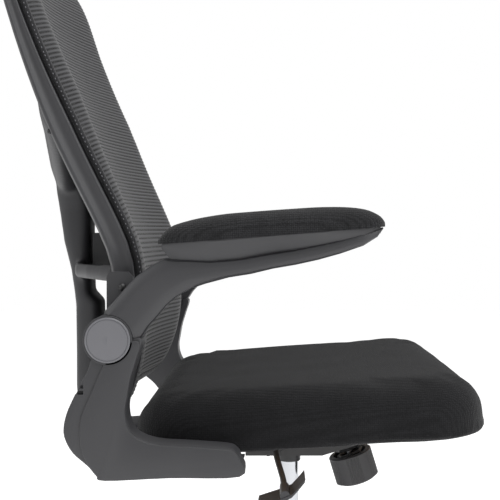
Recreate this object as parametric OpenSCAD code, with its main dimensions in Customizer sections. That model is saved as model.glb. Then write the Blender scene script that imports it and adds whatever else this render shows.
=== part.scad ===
/* [Seat] */
// Height of the seat board's underside above the floor, over the lift axis
seat_base_z = 411; // [408:1:440]
// Slope of the seat, front edge up, in degrees
seat_slope = 3.8; // [2:0.1:5]
// Width of the seat cushion
seat_w = 490; // [460:2:500]
// Depth of the seat cushion, front to back
seat_d = 452; // [430:2:460]
// How far the cushion's middle lies ahead of the lift axis
seat_ahead = 24; // [20:1:28]
// Height of the cushion from hem to crown
seat_h = 67; // [60:1:80]
// Thickness of the plywood seat board
board_t = 12; // [9:1:15]

/* [Tilt mechanism] */
// Thickness of the mechanism's pressed steel tub
steel_t = 3; // [2:0.5:4]
// Width of the mechanism tub
tub_w = 110; // [100:2:120]
// Distance of the tilt shaft ahead of the lift axis
tilt_ahead = 38; // [34:1:42]
// Height of the tilt shaft above the floor
tilt_z = 380; // [378:1:384]
// Radius of the tilt shaft
shaft_r = 6; // [5:0.5:8]
// Angle by which the tension bolt leans back at its top
bolt_lean = 17; // [14:1:20]
// Diameter of the tension knob
knob_d = 63; // [58:1:68]
// Height of the tension knob
knob_h = 42; // [38:1:46]
// Turns of the tension spring
spring_turns = 4.5; // [3.5:0.5:5.5]
// Diameter of the spring wire
spring_wire_d = 5; // [3:0.5:6]
// Diameter of the lever rod
lever_d = 8; // [6:0.5:9]

/* [Gas lift] */
// Diameter of the lift's outer column
column_d = 50; // [46:1:54]
// Height of the column's mouth above the floor
column_top_z = 265; // [240:1:268]
// Diameter of the chrome lift cylinder
cylinder_d = 28; // [26:1:30]

/* [Base and casters] */
// Distance from the lift axis to each caster stem
base_reach = 290; // [260:5:320]
// Height of the underside of the arm tips above the floor
tip_z = 60; // [58:1:64]
// Diameter of the base hub
hub_d = 84; // [76:1:92]
// Height of the base hub
hub_h = 70; // [60:1:80]
// Diameter of each caster wheel
wheel_d = 50; // [46:1:50]
// Width of each caster wheel
wheel_w = 19; // [16:0.5:22]

/* [Back] */
// Gap between each rail of the back and the arm bracket beside it
rail_gap = 26; // [20:1:40]
// Height of the back frame's lowest point
back_low_z = 450; // [446:1:470]
// Height of the back frame's highest point
back_top_z = 1095; // [1040:1:1120]
// Distance of the upright part of the rails behind the lift axis
rail_y = 193; // [190:1:198]
// Height at which the rails start to lean back
lean_z = 642; // [632:1:652]
// Lean of the upper rails, as a share of their rise
lean_share = 0.51; // [0.45:0.005:0.55]
// Height at which the upper rails start to stand up again
ease_z = 840; // [820:5:860]
// Height below which the rails kick back behind the seat
kick_z = 530; // [510:5:540]
// Depth of the curve of the back from side to side
back_bow = 35; // [25:1:45]
// Depth of the rail where it is upright
rail_deep = 25; // [20:1:28]
// Depth of the rail at the top of the back
rail_thin = 13.5; // [12:0.5:18]
// Width of the rail seen from the front
rail_w = 24; // [20:1:26]
// How far the mesh rolls forward over its side edges at the waist
roll_low = 6; // [0:1:10]
// How far the mesh rolls forward over its side edges at the shoulders
roll_high = 21; // [10:1:24]
// Thickness of the mesh panel
mesh_t = 3; // [2:0.5:4]

/* [Armrests] */
// Gap between the cushion's side and the arm bracket beside it
arm_gap = 15; // [12:1:23]
// Thickness of the arm and its bracket
arm_w = 34; // [30:1:36]
// Distance of the armrest pivot behind the lift axis
pivot_y = 210; // [207:1:213]
// Height of the armrest pivot above the floor
pivot_z = 549; // [545:1:555]
// Radius of the round knuckle at the pivot
knuckle_r = 28; // [26:0.5:30]
// Distance from the pivot forward to the tip of the arm
arm_reach = 315; // [290:1:330]
// Rise from the pivot to the front end of the pad's seam
arm_rise = 131; // [125:1:140]
// Length of the arm pad
pad_l = 258; // [235:1:270]
// Width of the arm pad
pad_w = 68; // [60:1:70]
// Thickness of the arm pad
pad_h = 25; // [20:1:30]
// Length of the bracket from its rear bend to its front end
bracket_reach = 200; // [190:1:205]
// Drop from the pivot to the bracket's underside
bracket_drop = 159; // [156:1:162]

/* [Hidden] */

$fn = 64;
// Extra length of a cut beyond the face that it goes through
over = 1;
// Radial clearance of a running fit
run_fit = 0.05;
// Gap between pieces that rest against each other
seat_gap = 0.3;
// Length of the unit directions that set up the swept forms
one = 1;

// Distances from the middle plane to an armrest, and to the middle of a rail of the back
arm_x = seat_w / 2 + arm_gap + arm_w / 2;
arm_in = arm_x - arm_w / 2;
arm_out = arm_x + arm_w / 2;
back_hw = arm_in - rail_gap - rail_w / 2;

plastic_tone = [0.2, 0.2, 0.21];
fabric_tone = [0.11, 0.11, 0.12];
steel_tone = [0.16, 0.16, 0.17];
chrome_tone = [0.8, 0.81, 0.83];
cap_tone = [0.48, 0.48, 0.51];
screw_tone = [0.3, 0.3, 0.32];

function mix(a, b, t) = a + (b - a) * t;
function clamp01(t) = max(0, min(1, t));
function unit(v) = v / norm(v);
// Point at angle a on a rounded rectangle of half sizes hx and hy, squarer as p grows
function oval(a, hx, hy, p) =
    let (r = pow(pow(abs(cos(a)), p) + pow(abs(sin(a)), p), -1 / p))
    [hx * r * cos(a), hy * r * sin(a)];

// Closed skin through rings of points that all have the same count
module skin(rings, loop = false) {
    m = len(rings[0]);
    k = len(rings);
    spans = loop ? k : k - 1;
    sides = [
        for (i = [0:spans - 1]) for (j = [0:m - 1])
        let (a = i * m + j, b = i * m + (j + 1) % m)
        let (c = ((i + 1) % k) * m + (j + 1) % m, d = ((i + 1) % k) * m + j)
        each [[a, c, b], [a, d, c]]
    ];
    low_cap = [for (j = [0:m - 1]) j];
    top_cap = [for (j = [m - 1:-1:0]) (k - 1) * m + j];
    polyhedron([for (r = rings) each r], loop ? sides : concat(sides, [low_cap, top_cap]));
}

// Ring of section points round p, with axes o and w
function placed(section, p, o, w) = [for (s = section) p + s[0] * o + s[1] * w];

// Cylinder along X from distance d0 to d1 at [y, z]
module bar_x(r, d0, d1, y, z) {
    translate([d0, y, z]) rotate([0, 90, 0]) cylinder(r = r, h = d1 - d0);
}

// Flat piece along X from distance d0 to d1, with its outline drawn as [y, z]
module slab_x(d0, d1) {
    translate([d0, 0, 0]) rotate([90, 0, 90]) linear_extrude(d1 - d0) children();
}

module right_side() {
    mirror([one, 0, 0]) children();
}

// The seat's own frame: origin on the board's underside, sloped up to the front
module seat_place() {
    translate([0, 0, seat_base_z]) rotate([-seat_slope, 0, 0]) children();
}
function seat_z(y) = seat_base_z - y * tan(seat_slope);

// Gas lift
column_wall = 1.5;
column_foot = 4;
column_low_z = tip_z + column_foot;
column_taper = 1;
column_taper_h = 55;
bush_h = 75;
bush_rim_h = 3;
cylinder_low_z = 150;
cylinder_wall = 2.5;
cylinder_cap_h = 8;
cylinder_head_h = 16;
cylinder_drop = 4;
cylinder_top_z = tilt_z - cylinder_drop;
rod_r = 5;
bearing_r = 12;
bearing_h = 8;
shoulder_h = 4;
shoulder_r = 8;
piston_z = 196;
piston_h = 12;
piston_clear = 0.05;
clip_h = 2;
clip_r = 9;
button_r = 4;
button_rise = 6;
button_h = 16;
column_r = column_d / 2;
cyl_r = cylinder_d / 2;

module lift_column() {
    inner_r = column_r - column_wall;
    color(steel_tone) difference() {
        rotate_extrude() polygon([
            [0, column_low_z], [column_r - column_taper, column_low_z],
            [column_r, column_low_z + column_taper_h], [column_r, column_top_z], [0, column_top_z]
        ]);
        translate([0, 0, column_low_z + shoulder_h])
            cylinder(r = inner_r - column_taper, h = column_top_z);
        translate([0, 0, column_top_z - bush_h])
            cylinder(r = inner_r, h = bush_h + over);
        translate([0, 0, column_low_z - over]) cylinder(r = rod_r + run_fit, h = shoulder_h + 2 * over);
    }
}

module guide_bush() {
    color(plastic_tone) rotate_extrude() polygon([
        [cyl_r + run_fit, column_top_z - bush_h + seat_gap],
        [column_r - column_wall - run_fit, column_top_z - bush_h + seat_gap],
        [column_r - column_wall - run_fit, column_top_z],
        [column_r, column_top_z],
        [column_r - bush_rim_h / 2, column_top_z + bush_rim_h],
        [cyl_r + run_fit, column_top_z + bush_rim_h]
    ]);
}

module thrust_bearing() {
    race_groove = 1;
    z0 = column_low_z + shoulder_h;
    color(chrome_tone) rotate_extrude() polygon([
        [rod_r + run_fit, z0], [bearing_r, z0], [bearing_r, z0 + bearing_h / 4],
        [bearing_r - race_groove, z0 + bearing_h / 4],
        [bearing_r - race_groove, z0 + bearing_h * 3 / 4],
        [bearing_r, z0 + bearing_h * 3 / 4], [bearing_r, z0 + bearing_h],
        [rod_r + run_fit, z0 + bearing_h]
    ]);
}

module piston_rod() {
    shoulder_z = column_low_z + shoulder_h + bearing_h + run_fit;
    clip_z = column_low_z - clip_h - run_fit;
    color(chrome_tone) rotate_extrude() polygon([
        [0, clip_z - clip_h], [rod_r, clip_z - clip_h], [rod_r, shoulder_z],
        [shoulder_r, shoulder_z], [shoulder_r, shoulder_z + shoulder_h],
        [rod_r, shoulder_z + shoulder_h], [rod_r, piston_z],
        [cyl_r - cylinder_wall - piston_clear, piston_z],
        [cyl_r - cylinder_wall - piston_clear, piston_z + piston_h], [0, piston_z + piston_h]
    ]);
}

module rod_clip() {
    clip_gap = 6;
    color(steel_tone) translate([0, 0, column_low_z - clip_h - run_fit]) difference() {
        cylinder(r = clip_r, h = clip_h);
        translate([0, 0, -over]) cylinder(r = rod_r + run_fit, h = clip_h + 2 * over);
        translate([0, -clip_gap / 2, -over]) cube([clip_r + over, clip_gap, clip_h + 2 * over]);
    }
}

module lift_cylinder() {
    inner_r = cyl_r - cylinder_wall;
    edge = 1;
    color(chrome_tone) rotate_extrude() polygon([
        [rod_r + run_fit, cylinder_low_z], [cyl_r - edge, cylinder_low_z],
        [cyl_r, cylinder_low_z + edge], [cyl_r, cylinder_top_z - edge],
        [cyl_r - edge, cylinder_top_z], [button_r + run_fit, cylinder_top_z],
        [button_r + run_fit, cylinder_top_z - cylinder_head_h],
        [inner_r, cylinder_top_z - cylinder_head_h],
        [inner_r, cylinder_low_z + cylinder_cap_h],
        [rod_r + run_fit, cylinder_low_z + cylinder_cap_h]
    ]);
}

module release_button() {
    color(chrome_tone) translate([0, 0, cylinder_top_z + button_rise - button_h])
        cylinder(r = button_r, h = button_h);
}

// Five-arm base
arm_count = 5;
base_turn = -90;
arm_root_w = 44;
arm_tip_w = 27;
arm_wall = 3.5;
tip_h = 24;
tip_r = 16;
tip_cap = 2;
hub_up = 2;
hub_low_z = tip_z + hub_up;
hub_foot = 1.5;
stem_r = 5.5;
stem_in_base = 20;
stem_in_caster = 26;
stem_flange_h = 1.4;
stem_flange_r = 8;
rib_gap = 42;

function arm_top(s) = mix(tip_z + tip_h, hub_low_z + hub_h - arm_wall, pow(1 - s, 1.6));
arm_steps = 10;

// Side outline of a base arm drawn from the lift axis outward, lowered by drop at its top
module base_arm_side(from, to, low, drop) {
    polygon(concat(
        [[from, low], [to, low]],
        [for (i = [arm_steps:-1:0])
            let (s = mix(from / base_reach, to / base_reach, i / arm_steps))
            [s * base_reach, arm_top(clamp01(s)) - drop]]
    ));
}

module base_arm_plan(from, to, inset, h) {
    translate([0, 0, -over]) linear_extrude(h) polygon([
        [from, -arm_root_w / 2 + inset], [to, -arm_tip_w / 2 + inset],
        [to, arm_tip_w / 2 - inset], [from, arm_root_w / 2 - inset]
    ]);
}

module base_arm() {
    root = hub_d / 2 - arm_wall;
    span = base_reach - tip_r / 4;
    room = hub_low_z + hub_h + 2 * over;
    difference() {
        intersection() {
            rotate([90, 0, 0]) translate([0, 0, -arm_root_w])
                linear_extrude(2 * arm_root_w) base_arm_side(root, span, hub_low_z, 0);
            base_arm_plan(root, span, 0, room);
        }
        difference() {
            intersection() {
                rotate([90, 0, 0]) translate([0, 0, -arm_root_w]) linear_extrude(2 * arm_root_w)
                    base_arm_side(hub_d / 2 + over, base_reach - tip_r - over, hub_low_z - over, arm_wall);
                base_arm_plan(root, span, arm_wall, room);
            }
            for (x = [hub_d / 2 + rib_gap:rib_gap:base_reach - tip_r - rib_gap / 2])
                translate([x, -arm_root_w / 2, hub_low_z - over])
                    cube([arm_wall / 2, arm_root_w, hub_h]);
        }
    }
    translate([base_reach, 0, tip_z]) cylinder(r = tip_r, h = tip_h + tip_cap);
}

module base_star() {
    hub_r = hub_d / 2;
    edge = 4;
    color(plastic_tone) difference() {
        union() {
            rotate_extrude() polygon([
                [0, hub_low_z - hub_foot], [hub_r, hub_low_z - hub_foot], [hub_r, hub_low_z + hub_h - edge],
                [hub_r - edge, hub_low_z + hub_h], [0, hub_low_z + hub_h]
            ]);
            for (i = [0:arm_count - 1])
                rotate([0, 0, base_turn + i * 360 / arm_count]) base_arm();
        }
        rotate_extrude() polygon([
            [0, hub_low_z - 2 * over], [column_r - column_taper + run_fit, hub_low_z - 2 * over],
            [column_r - column_taper + run_fit, column_low_z],
            [column_r + run_fit, column_low_z + column_taper_h],
            [column_r + run_fit, hub_low_z + hub_h + over], [0, hub_low_z + hub_h + over]
        ]);
        for (i = [0:arm_count - 1]) rotate([0, 0, base_turn + i * 360 / arm_count])
            translate([base_reach, 0, tip_z - over])
                cylinder(r = stem_r + run_fit, h = stem_in_base + over + run_fit);
    }
}

// Casters
stem_bore_up = 7;
stem_bore_z = wheel_d / 2 + stem_bore_up;
caster_trail = 20;
caster_top_z = tip_z - stem_flange_h - seat_gap;
boss_r = 9.5;
web_t = 9;
axle_r = 4;
wheel_gap = 10.5;
hood_clear = 1.5;
hood_t = 2.5;
hood_from = 70;
hood_sweep = 165;
fan_t = 6;
neck_t = 8;
wheel_dish = 5;
wheel_rim = 6;
tread_round = 4;
axle_head = 1.5;

module caster_place(i) {
    rotate([0, 0, base_turn + i * 360 / arm_count]) translate([base_reach, 0, 0]) children();
}

module caster_stems() {
    color(chrome_tone) for (i = [0:arm_count - 1]) caster_place(i) {
        translate([0, 0, stem_bore_z]) cylinder(r = stem_r, h = tip_z - stem_bore_z + stem_in_base);
        translate([0, 0, tip_z - stem_flange_h]) cylinder(r = stem_flange_r, h = stem_flange_h);
    }
}

module caster_housing() {
    axle_z = wheel_d / 2;
    hood_r = axle_z + hood_clear;
    color(plastic_tone) difference() {
        union() {
            translate([0, 0, axle_z - boss_r]) cylinder(r = boss_r, h = caster_top_z - axle_z + boss_r);
            bar_x(boss_r, -web_t / 2, web_t / 2, caster_trail, axle_z);
            translate([-neck_t / 2, 0, axle_z - boss_r + over]) cube([neck_t, caster_trail, axle_z]);
            translate([0, caster_trail, axle_z]) rotate([0, 90, 0]) rotate([0, 0, hood_from])
                rotate_extrude(angle = hood_sweep) polygon([
                    [axle_r / 2, -fan_t / 2], [hood_r, -fan_t / 2], [hood_r, -wheel_gap - wheel_w],
                    [hood_r + hood_t, -wheel_gap - wheel_w], [hood_r + hood_t, wheel_gap + wheel_w],
                    [hood_r, wheel_gap + wheel_w], [hood_r, fan_t / 2], [axle_r / 2, fan_t / 2]
                ]);
        }
        translate([0, 0, stem_bore_z - seat_gap])
            cylinder(r = stem_r + run_fit, h = wheel_d);
        bar_x(axle_r + run_fit, -wheel_d, wheel_d, caster_trail, axle_z);
        translate([-wheel_d, -wheel_d, caster_top_z]) cube([2 * wheel_d, 4 * wheel_d, wheel_d]);
    }
}

module caster_axle() {
    reach = wheel_gap + wheel_w - wheel_dish + axle_head;
    color(chrome_tone) bar_x(axle_r, -reach, reach, caster_trail, wheel_d / 2);
}

// Wheel that lies outside the web on its +X side, dished on its outer face
module caster_wheel() {
    r = wheel_d / 2;
    color(plastic_tone) translate([wheel_gap, caster_trail, r]) rotate([0, 90, 0])
        rotate_extrude() polygon(concat(
            [[axle_r + run_fit, 0], [r - tread_round, 0]],
            [for (a = [-60:30:60])
                [r - tread_round + tread_round * cos(a),
                    wheel_w / 2 + (wheel_w / 2 - tread_round) * sin(a) / sin(60)]],
            [[r - tread_round, wheel_w], [r - wheel_rim, wheel_w],
                [r - wheel_rim - wheel_dish, wheel_w - wheel_dish],
                [axle_r + run_fit, wheel_w - wheel_dish]]
        ));
}

// Tilt mechanism
tub_drop = 22;
tub_low_z = tilt_z - tub_drop;
tub_rear = 62;
tub_front = 125;
tub_bend = 45;
tub_rear_drop = 5;
tub_mid_rise = 12;
tub_front_rise = 22;
tub_rear_top = tilt_z - tub_rear_drop;
tub_mid_top = tilt_z + tub_mid_rise;
tub_front_top = tilt_z + tub_front_rise;
collar_drop = 41;
collar_low_z = tilt_z - collar_drop;
collar_low_r = 16.5;
collar_r = 21;
collar_lip = 1;
collar_top_z = cylinder_top_z + collar_lip;
bush_wall = 3;
bush_r = shaft_r + bush_wall;
bush_step = 2;
bush_flange_r = bush_r + bush_step;
bush_flange_t = 1.2;
lug_y = 20;
lug_x = 52;
lug_drop = 8;
lug_z = tilt_z - lug_drop;
lug_t = 4;
sleeve_r = 8;
sleeve_l = 24;
trunnion_r = 3;
lug_w = 12;
window_r = 10;
bolt_y = -94;
bolt_drop = 50;
bolt_z = tilt_z - bolt_drop;
bolt_r = 5;
slot_half_l = 10;
lean_in_tub = tan(bolt_lean);

function tub_floor(y) = tub_low_z + max(0, -tub_bend - y) * lean_in_tub;

module tub_side(wall) {
    low = wall;
    polygon([
        [-tub_front + wall, tub_floor(-tub_front) + low],
        [-tub_bend, tub_low_z + low], [tub_rear - wall, tub_low_z + low],
        [tub_rear - wall, wall > 0 ? tub_front_top + over : tub_rear_top],
        [0, wall > 0 ? tub_front_top + over : tub_mid_top],
        [-tub_front + wall, tub_front_top + (wall > 0 ? over : 0)]
    ]);
}

// Frame of the tension bolt: origin at the knob's middle, leaning back
module bolt_place() {
    translate([0, bolt_y, bolt_z]) rotate([-bolt_lean, 0, 0]) children();
}
spring_seat_up = ((tub_low_z - bolt_z) + (bolt_y + tub_bend) * -lean_in_tub) * cos(bolt_lean);

module mechanism_housing() {
    half = tub_w / 2;
    color(steel_tone) difference() {
        union() {
            difference() {
                slab_x(-half, half) tub_side(0);
                slab_x(-half + steel_t, half - steel_t) tub_side(steel_t);
            }
            translate([0, 0, collar_low_z]) cylinder(r = collar_low_r, h = tub_low_z);
            translate([0, 0, tub_low_z]) cylinder(r = collar_r, h = collar_top_z - tub_low_z);
            for (side = [-1, 1])
                translate([-lug_x - lug_w / 2,
                    lug_y + side * (sleeve_r + seat_gap + lug_t / 2) - lug_t / 2, tub_low_z])
                    cube([lug_w, lug_t, lug_z - tub_low_z + 2 * trunnion_r]);
        }
        translate([0, 0, collar_top_z]) cylinder(r = 2 * collar_r, h = seat_base_z);
        translate([0, 0, collar_low_z - over]) cylinder(r = cyl_r + run_fit, h = seat_base_z);
        for (side = [-1, 1]) bar_x(bush_r + run_fit, side * half - steel_t - over,
            side * half + steel_t + over, -tilt_ahead, tilt_z);
        bar_x(window_r, -half - over, -half + steel_t + over, lug_y, lug_z);
        translate([-lug_x, lug_y - 2 * sleeve_r, lug_z]) rotate([-90, 0, 0])
            cylinder(r = trunnion_r + run_fit, h = 4 * sleeve_r);
        bolt_place() for (y = [-slot_half_l:slot_half_l / 2:slot_half_l])
            translate([0, y, 0]) cylinder(r = bolt_r + over, h = seat_base_z - bolt_z);
    }
}

module tilt_bushes() {
    half = tub_w / 2;
    color(plastic_tone) for (side = [0, 1]) mirror([side, 0, 0]) difference() {
        union() {
            bar_x(bush_r, half - steel_t, half, -tilt_ahead, tilt_z);
            bar_x(bush_flange_r, half, half + bush_flange_t, -tilt_ahead, tilt_z);
        }
        bar_x(shaft_r + run_fit, half - steel_t - over, half + bush_flange_t + over,
            -tilt_ahead, tilt_z);
    }
}

flange_gap = 2;
flange_in = tub_w / 2 + flange_gap;
flange_r = 17;
shaft_head_t = 4;
shaft_step = 2;

module tilt_shaft() {
    reach = flange_in + steel_t;
    color(chrome_tone) {
        bar_x(shaft_r, -reach - shaft_head_t, reach, -tilt_ahead, tilt_z);
        bar_x(shaft_r + shaft_step, reach, reach + shaft_head_t, -tilt_ahead, tilt_z);
    }
}

// Steel plate under the seat board, with two ears down to the tilt shaft
plate_t = 4;
plate_w = 190;
plate_front = 112;
plate_rear = 100;
plate_bolt_x = 76;
plate_bolt_front = -88;
plate_bolt_rear = 76;
bolt_hole_r = 3.3;
m6_r = 3;
m6_head_r = 5;
m6_head_h = 4;
m6_socket_r = 2.5;
plate_edge_r = 20;

module seat_plate() {
    color(steel_tone) difference() {
        union() {
            seat_place() translate([0, 0, -plate_t]) linear_extrude(plate_t) difference() {
                translate([-plate_w / 2, -plate_front]) square([plate_w, plate_front + plate_rear]);
                translate([plate_w / 2, 0]) circle(r = plate_edge_r);
                translate([-plate_w / 2, 0]) circle(r = plate_edge_r);
            }
            for (side = [0, 1]) mirror([side, 0, 0]) slab_x(flange_in, flange_in + steel_t) {
                translate([-tilt_ahead, tilt_z]) circle(r = flange_r);
                polygon([
                    [-tilt_ahead - flange_r, tilt_z], [-tilt_ahead + flange_r, tilt_z],
                    [-tilt_ahead + 2 * flange_r, seat_z(-tilt_ahead + 2 * flange_r) - plate_t / 2],
                    [-tilt_ahead - 2 * flange_r, seat_z(-tilt_ahead - 2 * flange_r) - plate_t / 2]
                ]);
            }
        }
        bar_x(shaft_r + run_fit, -tub_w, tub_w, -tilt_ahead, tilt_z);
        seat_place() for (x = [-plate_bolt_x, plate_bolt_x]) for (y = [plate_bolt_front, plate_bolt_rear])
            translate([x, y, -plate_t - over]) cylinder(r = bolt_hole_r, h = plate_t + 2 * over);
        bolt_place() cylinder(r = bolt_r + over / 2, h = seat_base_z);
    }
}

// Tension bolt with its head in the board, and the knob and spring below
bolt_head_h = 6;
bolt_step = 4;
bolt_head_r = bolt_r + bolt_step;
bolt_low = knob_h / 3;
knob_wall = 4;
knob_edge = 3;
knob_cup = 27;
flute_groups = 6;
flutes_in_group = 5;
flute_r = 1.7;
flute_turn = 7.2;
coil_r = 18;
spring_low = knob_h / 2 - knob_cup;
spring_wire = spring_wire_d / 2;

function bolt_seat_up() =
    (seat_base_z - bolt_z - bolt_y * tan(seat_slope))
    / (cos(bolt_lean) + sin(bolt_lean) * tan(seat_slope));

module tension_bolt() {
    up = bolt_seat_up();
    dip = bolt_head_r * tan(bolt_lean + seat_slope);
    color(chrome_tone) {
        bolt_place() translate([0, 0, -bolt_low]) cylinder(r = bolt_r, h = up + bolt_low + dip + over);
        bolt_place() translate([0, 0, up + dip + seat_gap]) cylinder(r = bolt_head_r, h = bolt_head_h);
    }
}

module tension_knob() {
    r = knob_d / 2;
    top = knob_h / 2;
    edge = knob_edge;
    color(plastic_tone) bolt_place() difference() {
        union() {
            translate([0, 0, -top + edge]) linear_extrude(knob_h - 2 * edge) difference() {
                circle(r = r);
                for (g = [0:flute_groups - 1]) for (k = [0:flutes_in_group - 1])
                    rotate(g * 360 / flute_groups + (k - (flutes_in_group - 1) / 2) * flute_turn)
                        translate([r + flute_r / 2, 0]) circle(r = flute_r, $fn = 24);
            }
            rotate_extrude() polygon([
                [0, -top], [r - 2 * edge, -top], [r - edge, -top + edge], [0, -top + edge]
            ]);
            rotate_extrude() polygon([
                [0, top - edge], [r, top - edge], [r, top - edge / 2], [r - edge / 2, top], [0, top]
            ]);
        }
        translate([0, 0, -bolt_low - seat_gap]) cylinder(r = bolt_r + run_fit, h = knob_h);
        translate([0, 0, top - knob_cup]) cylinder(r = r - knob_wall - edge, h = knob_h);
    }
}

// Wire of the spring wound as one tube
curl_rings = 8;
wire_sides = 6;
spring_from = spring_low + spring_wire + seat_gap;
spring_to = spring_seat_up - spring_wire - seat_gap;
spring_pitch = (spring_to - spring_from) / spring_turns;
function coil_point(t) = [coil_r * cos(360 * t), coil_r * sin(360 * t), spring_from + spring_pitch * t];
function coil_ring(t) =
    let (out = [cos(360 * t), sin(360 * t), 0])
    let (along = unit([-2 * PI * coil_r * sin(360 * t), 2 * PI * coil_r * cos(360 * t), spring_pitch]))
    placed([for (s = [0:wire_sides - 1]) spring_wire * [cos(60 * s), sin(60 * s)]],
        coil_point(t), out, cross(along, out));
echo(str("least gap between spring turns ", spring_pitch * cos(atan(spring_pitch / (2 * PI * coil_r)))
    - spring_wire_d));

module tension_spring() {
    color(steel_tone) bolt_place()
        skin([for (i = [0:curl_rings * spring_turns]) coil_ring(i / curl_rings)]);
}

// Lever that presses the valve pin
crank_plate_t = 5;
crank_plate_y0 = -7;
crank_nose = 7;
rod_in = 34;
rod_straight = 84;
rod_out = [-196, 9.6, 356];
rod_end_x = 222;
paddle_in = 192;
paddle_out = 236;
paddle_t = 4;
rod_r2 = lever_d / 2;

module lever_crank() {
    plate_z = cylinder_top_z + button_rise + seat_gap;
    color(steel_tone) difference() {
        union() {
            bar_x(sleeve_r, -lug_x - sleeve_l / 2, -lug_x + sleeve_l / 2, lug_y, lug_z);
            translate([-lug_x, lug_y - sleeve_r - lug_t, lug_z]) rotate([-90, 0, 0])
                cylinder(r = trunnion_r, h = 2 * (sleeve_r + lug_t));
            translate([-lug_x + sleeve_l / 4, lug_y - sleeve_r + over, lug_z])
                cube([sleeve_l / 4, 2 * (sleeve_r - over), plate_z - lug_z + crank_plate_t]);
            translate([-lug_x + sleeve_l / 4, crank_plate_y0, plate_z])
                cube([lug_x - sleeve_l / 4 + crank_nose,
                    lug_y + sleeve_r - over - crank_plate_y0, crank_plate_t]);
        }
        bar_x(rod_r2 + run_fit, -lug_x - sleeve_l, -lug_x + sleeve_l, lug_y, lug_z);
    }
}

rod_sides = 14;
rod_steps = 10;
rod_bend_share = 0.98;
// Centre line of the rod's bent stretch, straight at both ends
function rod_point(t) =
    let (s = t * t * (3 - 2 * t))
    [mix(-rod_straight, rod_out[0], t), mix(lug_y, rod_out[1], s), mix(lug_z, rod_out[2], s)];
function rod_ring(t) =
    let (d = 1 / rod_steps / 4)
    let (along = t <= 0 || t >= 1 ? [-one, 0, 0] : unit(rod_point(t + d) - rod_point(t - d)))
    let (o = unit(cross([0, 0, one], along)), w = cross(along, o))
    placed([for (k = [0:rod_sides - 1])
        let (b = 360 * k / rod_sides) rod_bend_share * rod_r2 * [cos(b), sin(b)]], rod_point(t), o, w);

module lever_rod() {
    color(plastic_tone) {
        bar_x(rod_r2, -rod_straight, -rod_in, lug_y, lug_z);
        skin([for (i = [0:rod_steps]) rod_ring(i / rod_steps)]);
        bar_x(rod_r2, -rod_end_x, rod_out[0], rod_out[1], rod_out[2]);
    }
}

// Curved finger plate: [y, z] offsets from the rod's end, front end last
paddle_run = 56;
paddle_lift = 32;
paddle_share = [[-0.58, 0.5], [-0.3, 0.34], [-0.05, 0.2], [0.14, 0.06], [0.28, -0.2], [0.42, -0.5]];

module lever_paddle() {
    line = [for (q = paddle_share)
        [rod_out[1] - q[0] * paddle_run, rod_out[2] - q[1] * paddle_lift]];
    color(plastic_tone) difference() {
        union() {
            slab_x(-paddle_out, -paddle_in) polygon(concat(
                line, [for (i = [len(line) - 1:-1:0]) line[i] + [-paddle_t / 4, paddle_t]]));
            bar_x(rod_r2 + paddle_t / 2, -paddle_out + over, -paddle_in - paddle_t, rod_out[1], rod_out[2]);
        }
        bar_x(rod_r2 + run_fit, -rod_end_x - seat_gap, -paddle_in + over, rod_out[1], rod_out[2]);
    }
}

// Seat board and cushion
seat_p = 5;
seat_points = 56;
board_share = 0.93;
drawn_share = 0.012;
rear_narrow_share = 0.04;
hem = 1;
foot_t = 6;
foot_front = 72;
foot_rear = 190;
foot_inset = 97;
foot_bolt_inset = 67;
foot_in = seat_w / 2 - foot_inset;
foot_bolt_x = seat_w / 2 - foot_bolt_inset;
foot_bolt_front = 95;
foot_bolt_rear = 150;
tongue_w = 96;
tongue_t = 10;
tongue_front = 106;
tongue_bolt_x = 30;
tongue_bolt_front = 130;
tongue_bolt_rear = 168;
tongue_clear = 233;
// Rings of the cushion from its hem up to its crown, as shares of its outline and of its height
cushion_share = [
    [0.955, 0], [0.985, 0.06], [0.998, 0.2], [1, 0.42], [0.998, 0.6], [0.985, 0.73],
    [0.955, 0.83], [0.9, 0.905], [0.8, 0.955], [0.64, 0.985], [0.4, 0.998], [0.14, 1]
];

function seat_outline(share) = [
    for (i = [0:seat_points - 1])
    let (a = 360 * i / seat_points, p = oval(a, seat_w / 2, seat_d / 2, seat_p))
    let (draw = 1 - drawn_share * pow(cos(2 * a), 2), narrow = 1 - rear_narrow_share * max(0, sin(a)))
    [p[0] * share * draw * narrow, p[1] * share * draw - seat_ahead]
];
function seat_ring(share, z) = [for (p = seat_outline(share)) [p[0], p[1], z]];

module seat_board() {
    color([0.6, 0.48, 0.33]) difference() {
        seat_place() linear_extrude(board_t) polygon(seat_outline(board_share));
        bolt_place() cylinder(r = bolt_head_r + over, h = seat_base_z);
        seat_place() m6_places() translate([0, 0, -over])
            cylinder(r = m6_r + run_fit, h = board_t + 2 * over);
    }
}

module seat_cushion() {
    pocket = board_t + seat_gap;
    wall = board_share + seat_gap / seat_w;
    color(fabric_tone) seat_place() skin(concat(
        [seat_ring(wall / 8, pocket), seat_ring(wall, pocket), seat_ring(wall, hem)],
        [for (q = cushion_share) seat_ring(q[0], mix(hem, seat_h, q[1]))]
    ));
}

module m6_places() {
    for (x = [-plate_bolt_x, plate_bolt_x]) for (y = [plate_bolt_front, plate_bolt_rear])
        translate([x, y, 0]) children();
    for (x = [-tongue_bolt_x, tongue_bolt_x]) for (y = [tongue_bolt_front, tongue_bolt_rear])
        translate([x, y, 0]) children();
    for (x = [-foot_bolt_x, foot_bolt_x]) for (y = [foot_bolt_front, foot_bolt_rear])
        translate([x, y, 0]) children();
}

module m6_bolt(grip) {
    difference() {
        union() {
            translate([0, 0, -grip - m6_head_h]) cylinder(r = m6_head_r, h = m6_head_h);
            translate([0, 0, -grip]) cylinder(r = m6_r, h = grip + board_t);
        }
        translate([0, 0, -grip - m6_head_h - over]) cylinder(r = m6_socket_r, h = m6_head_h, $fn = 6);
    }
}

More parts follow.
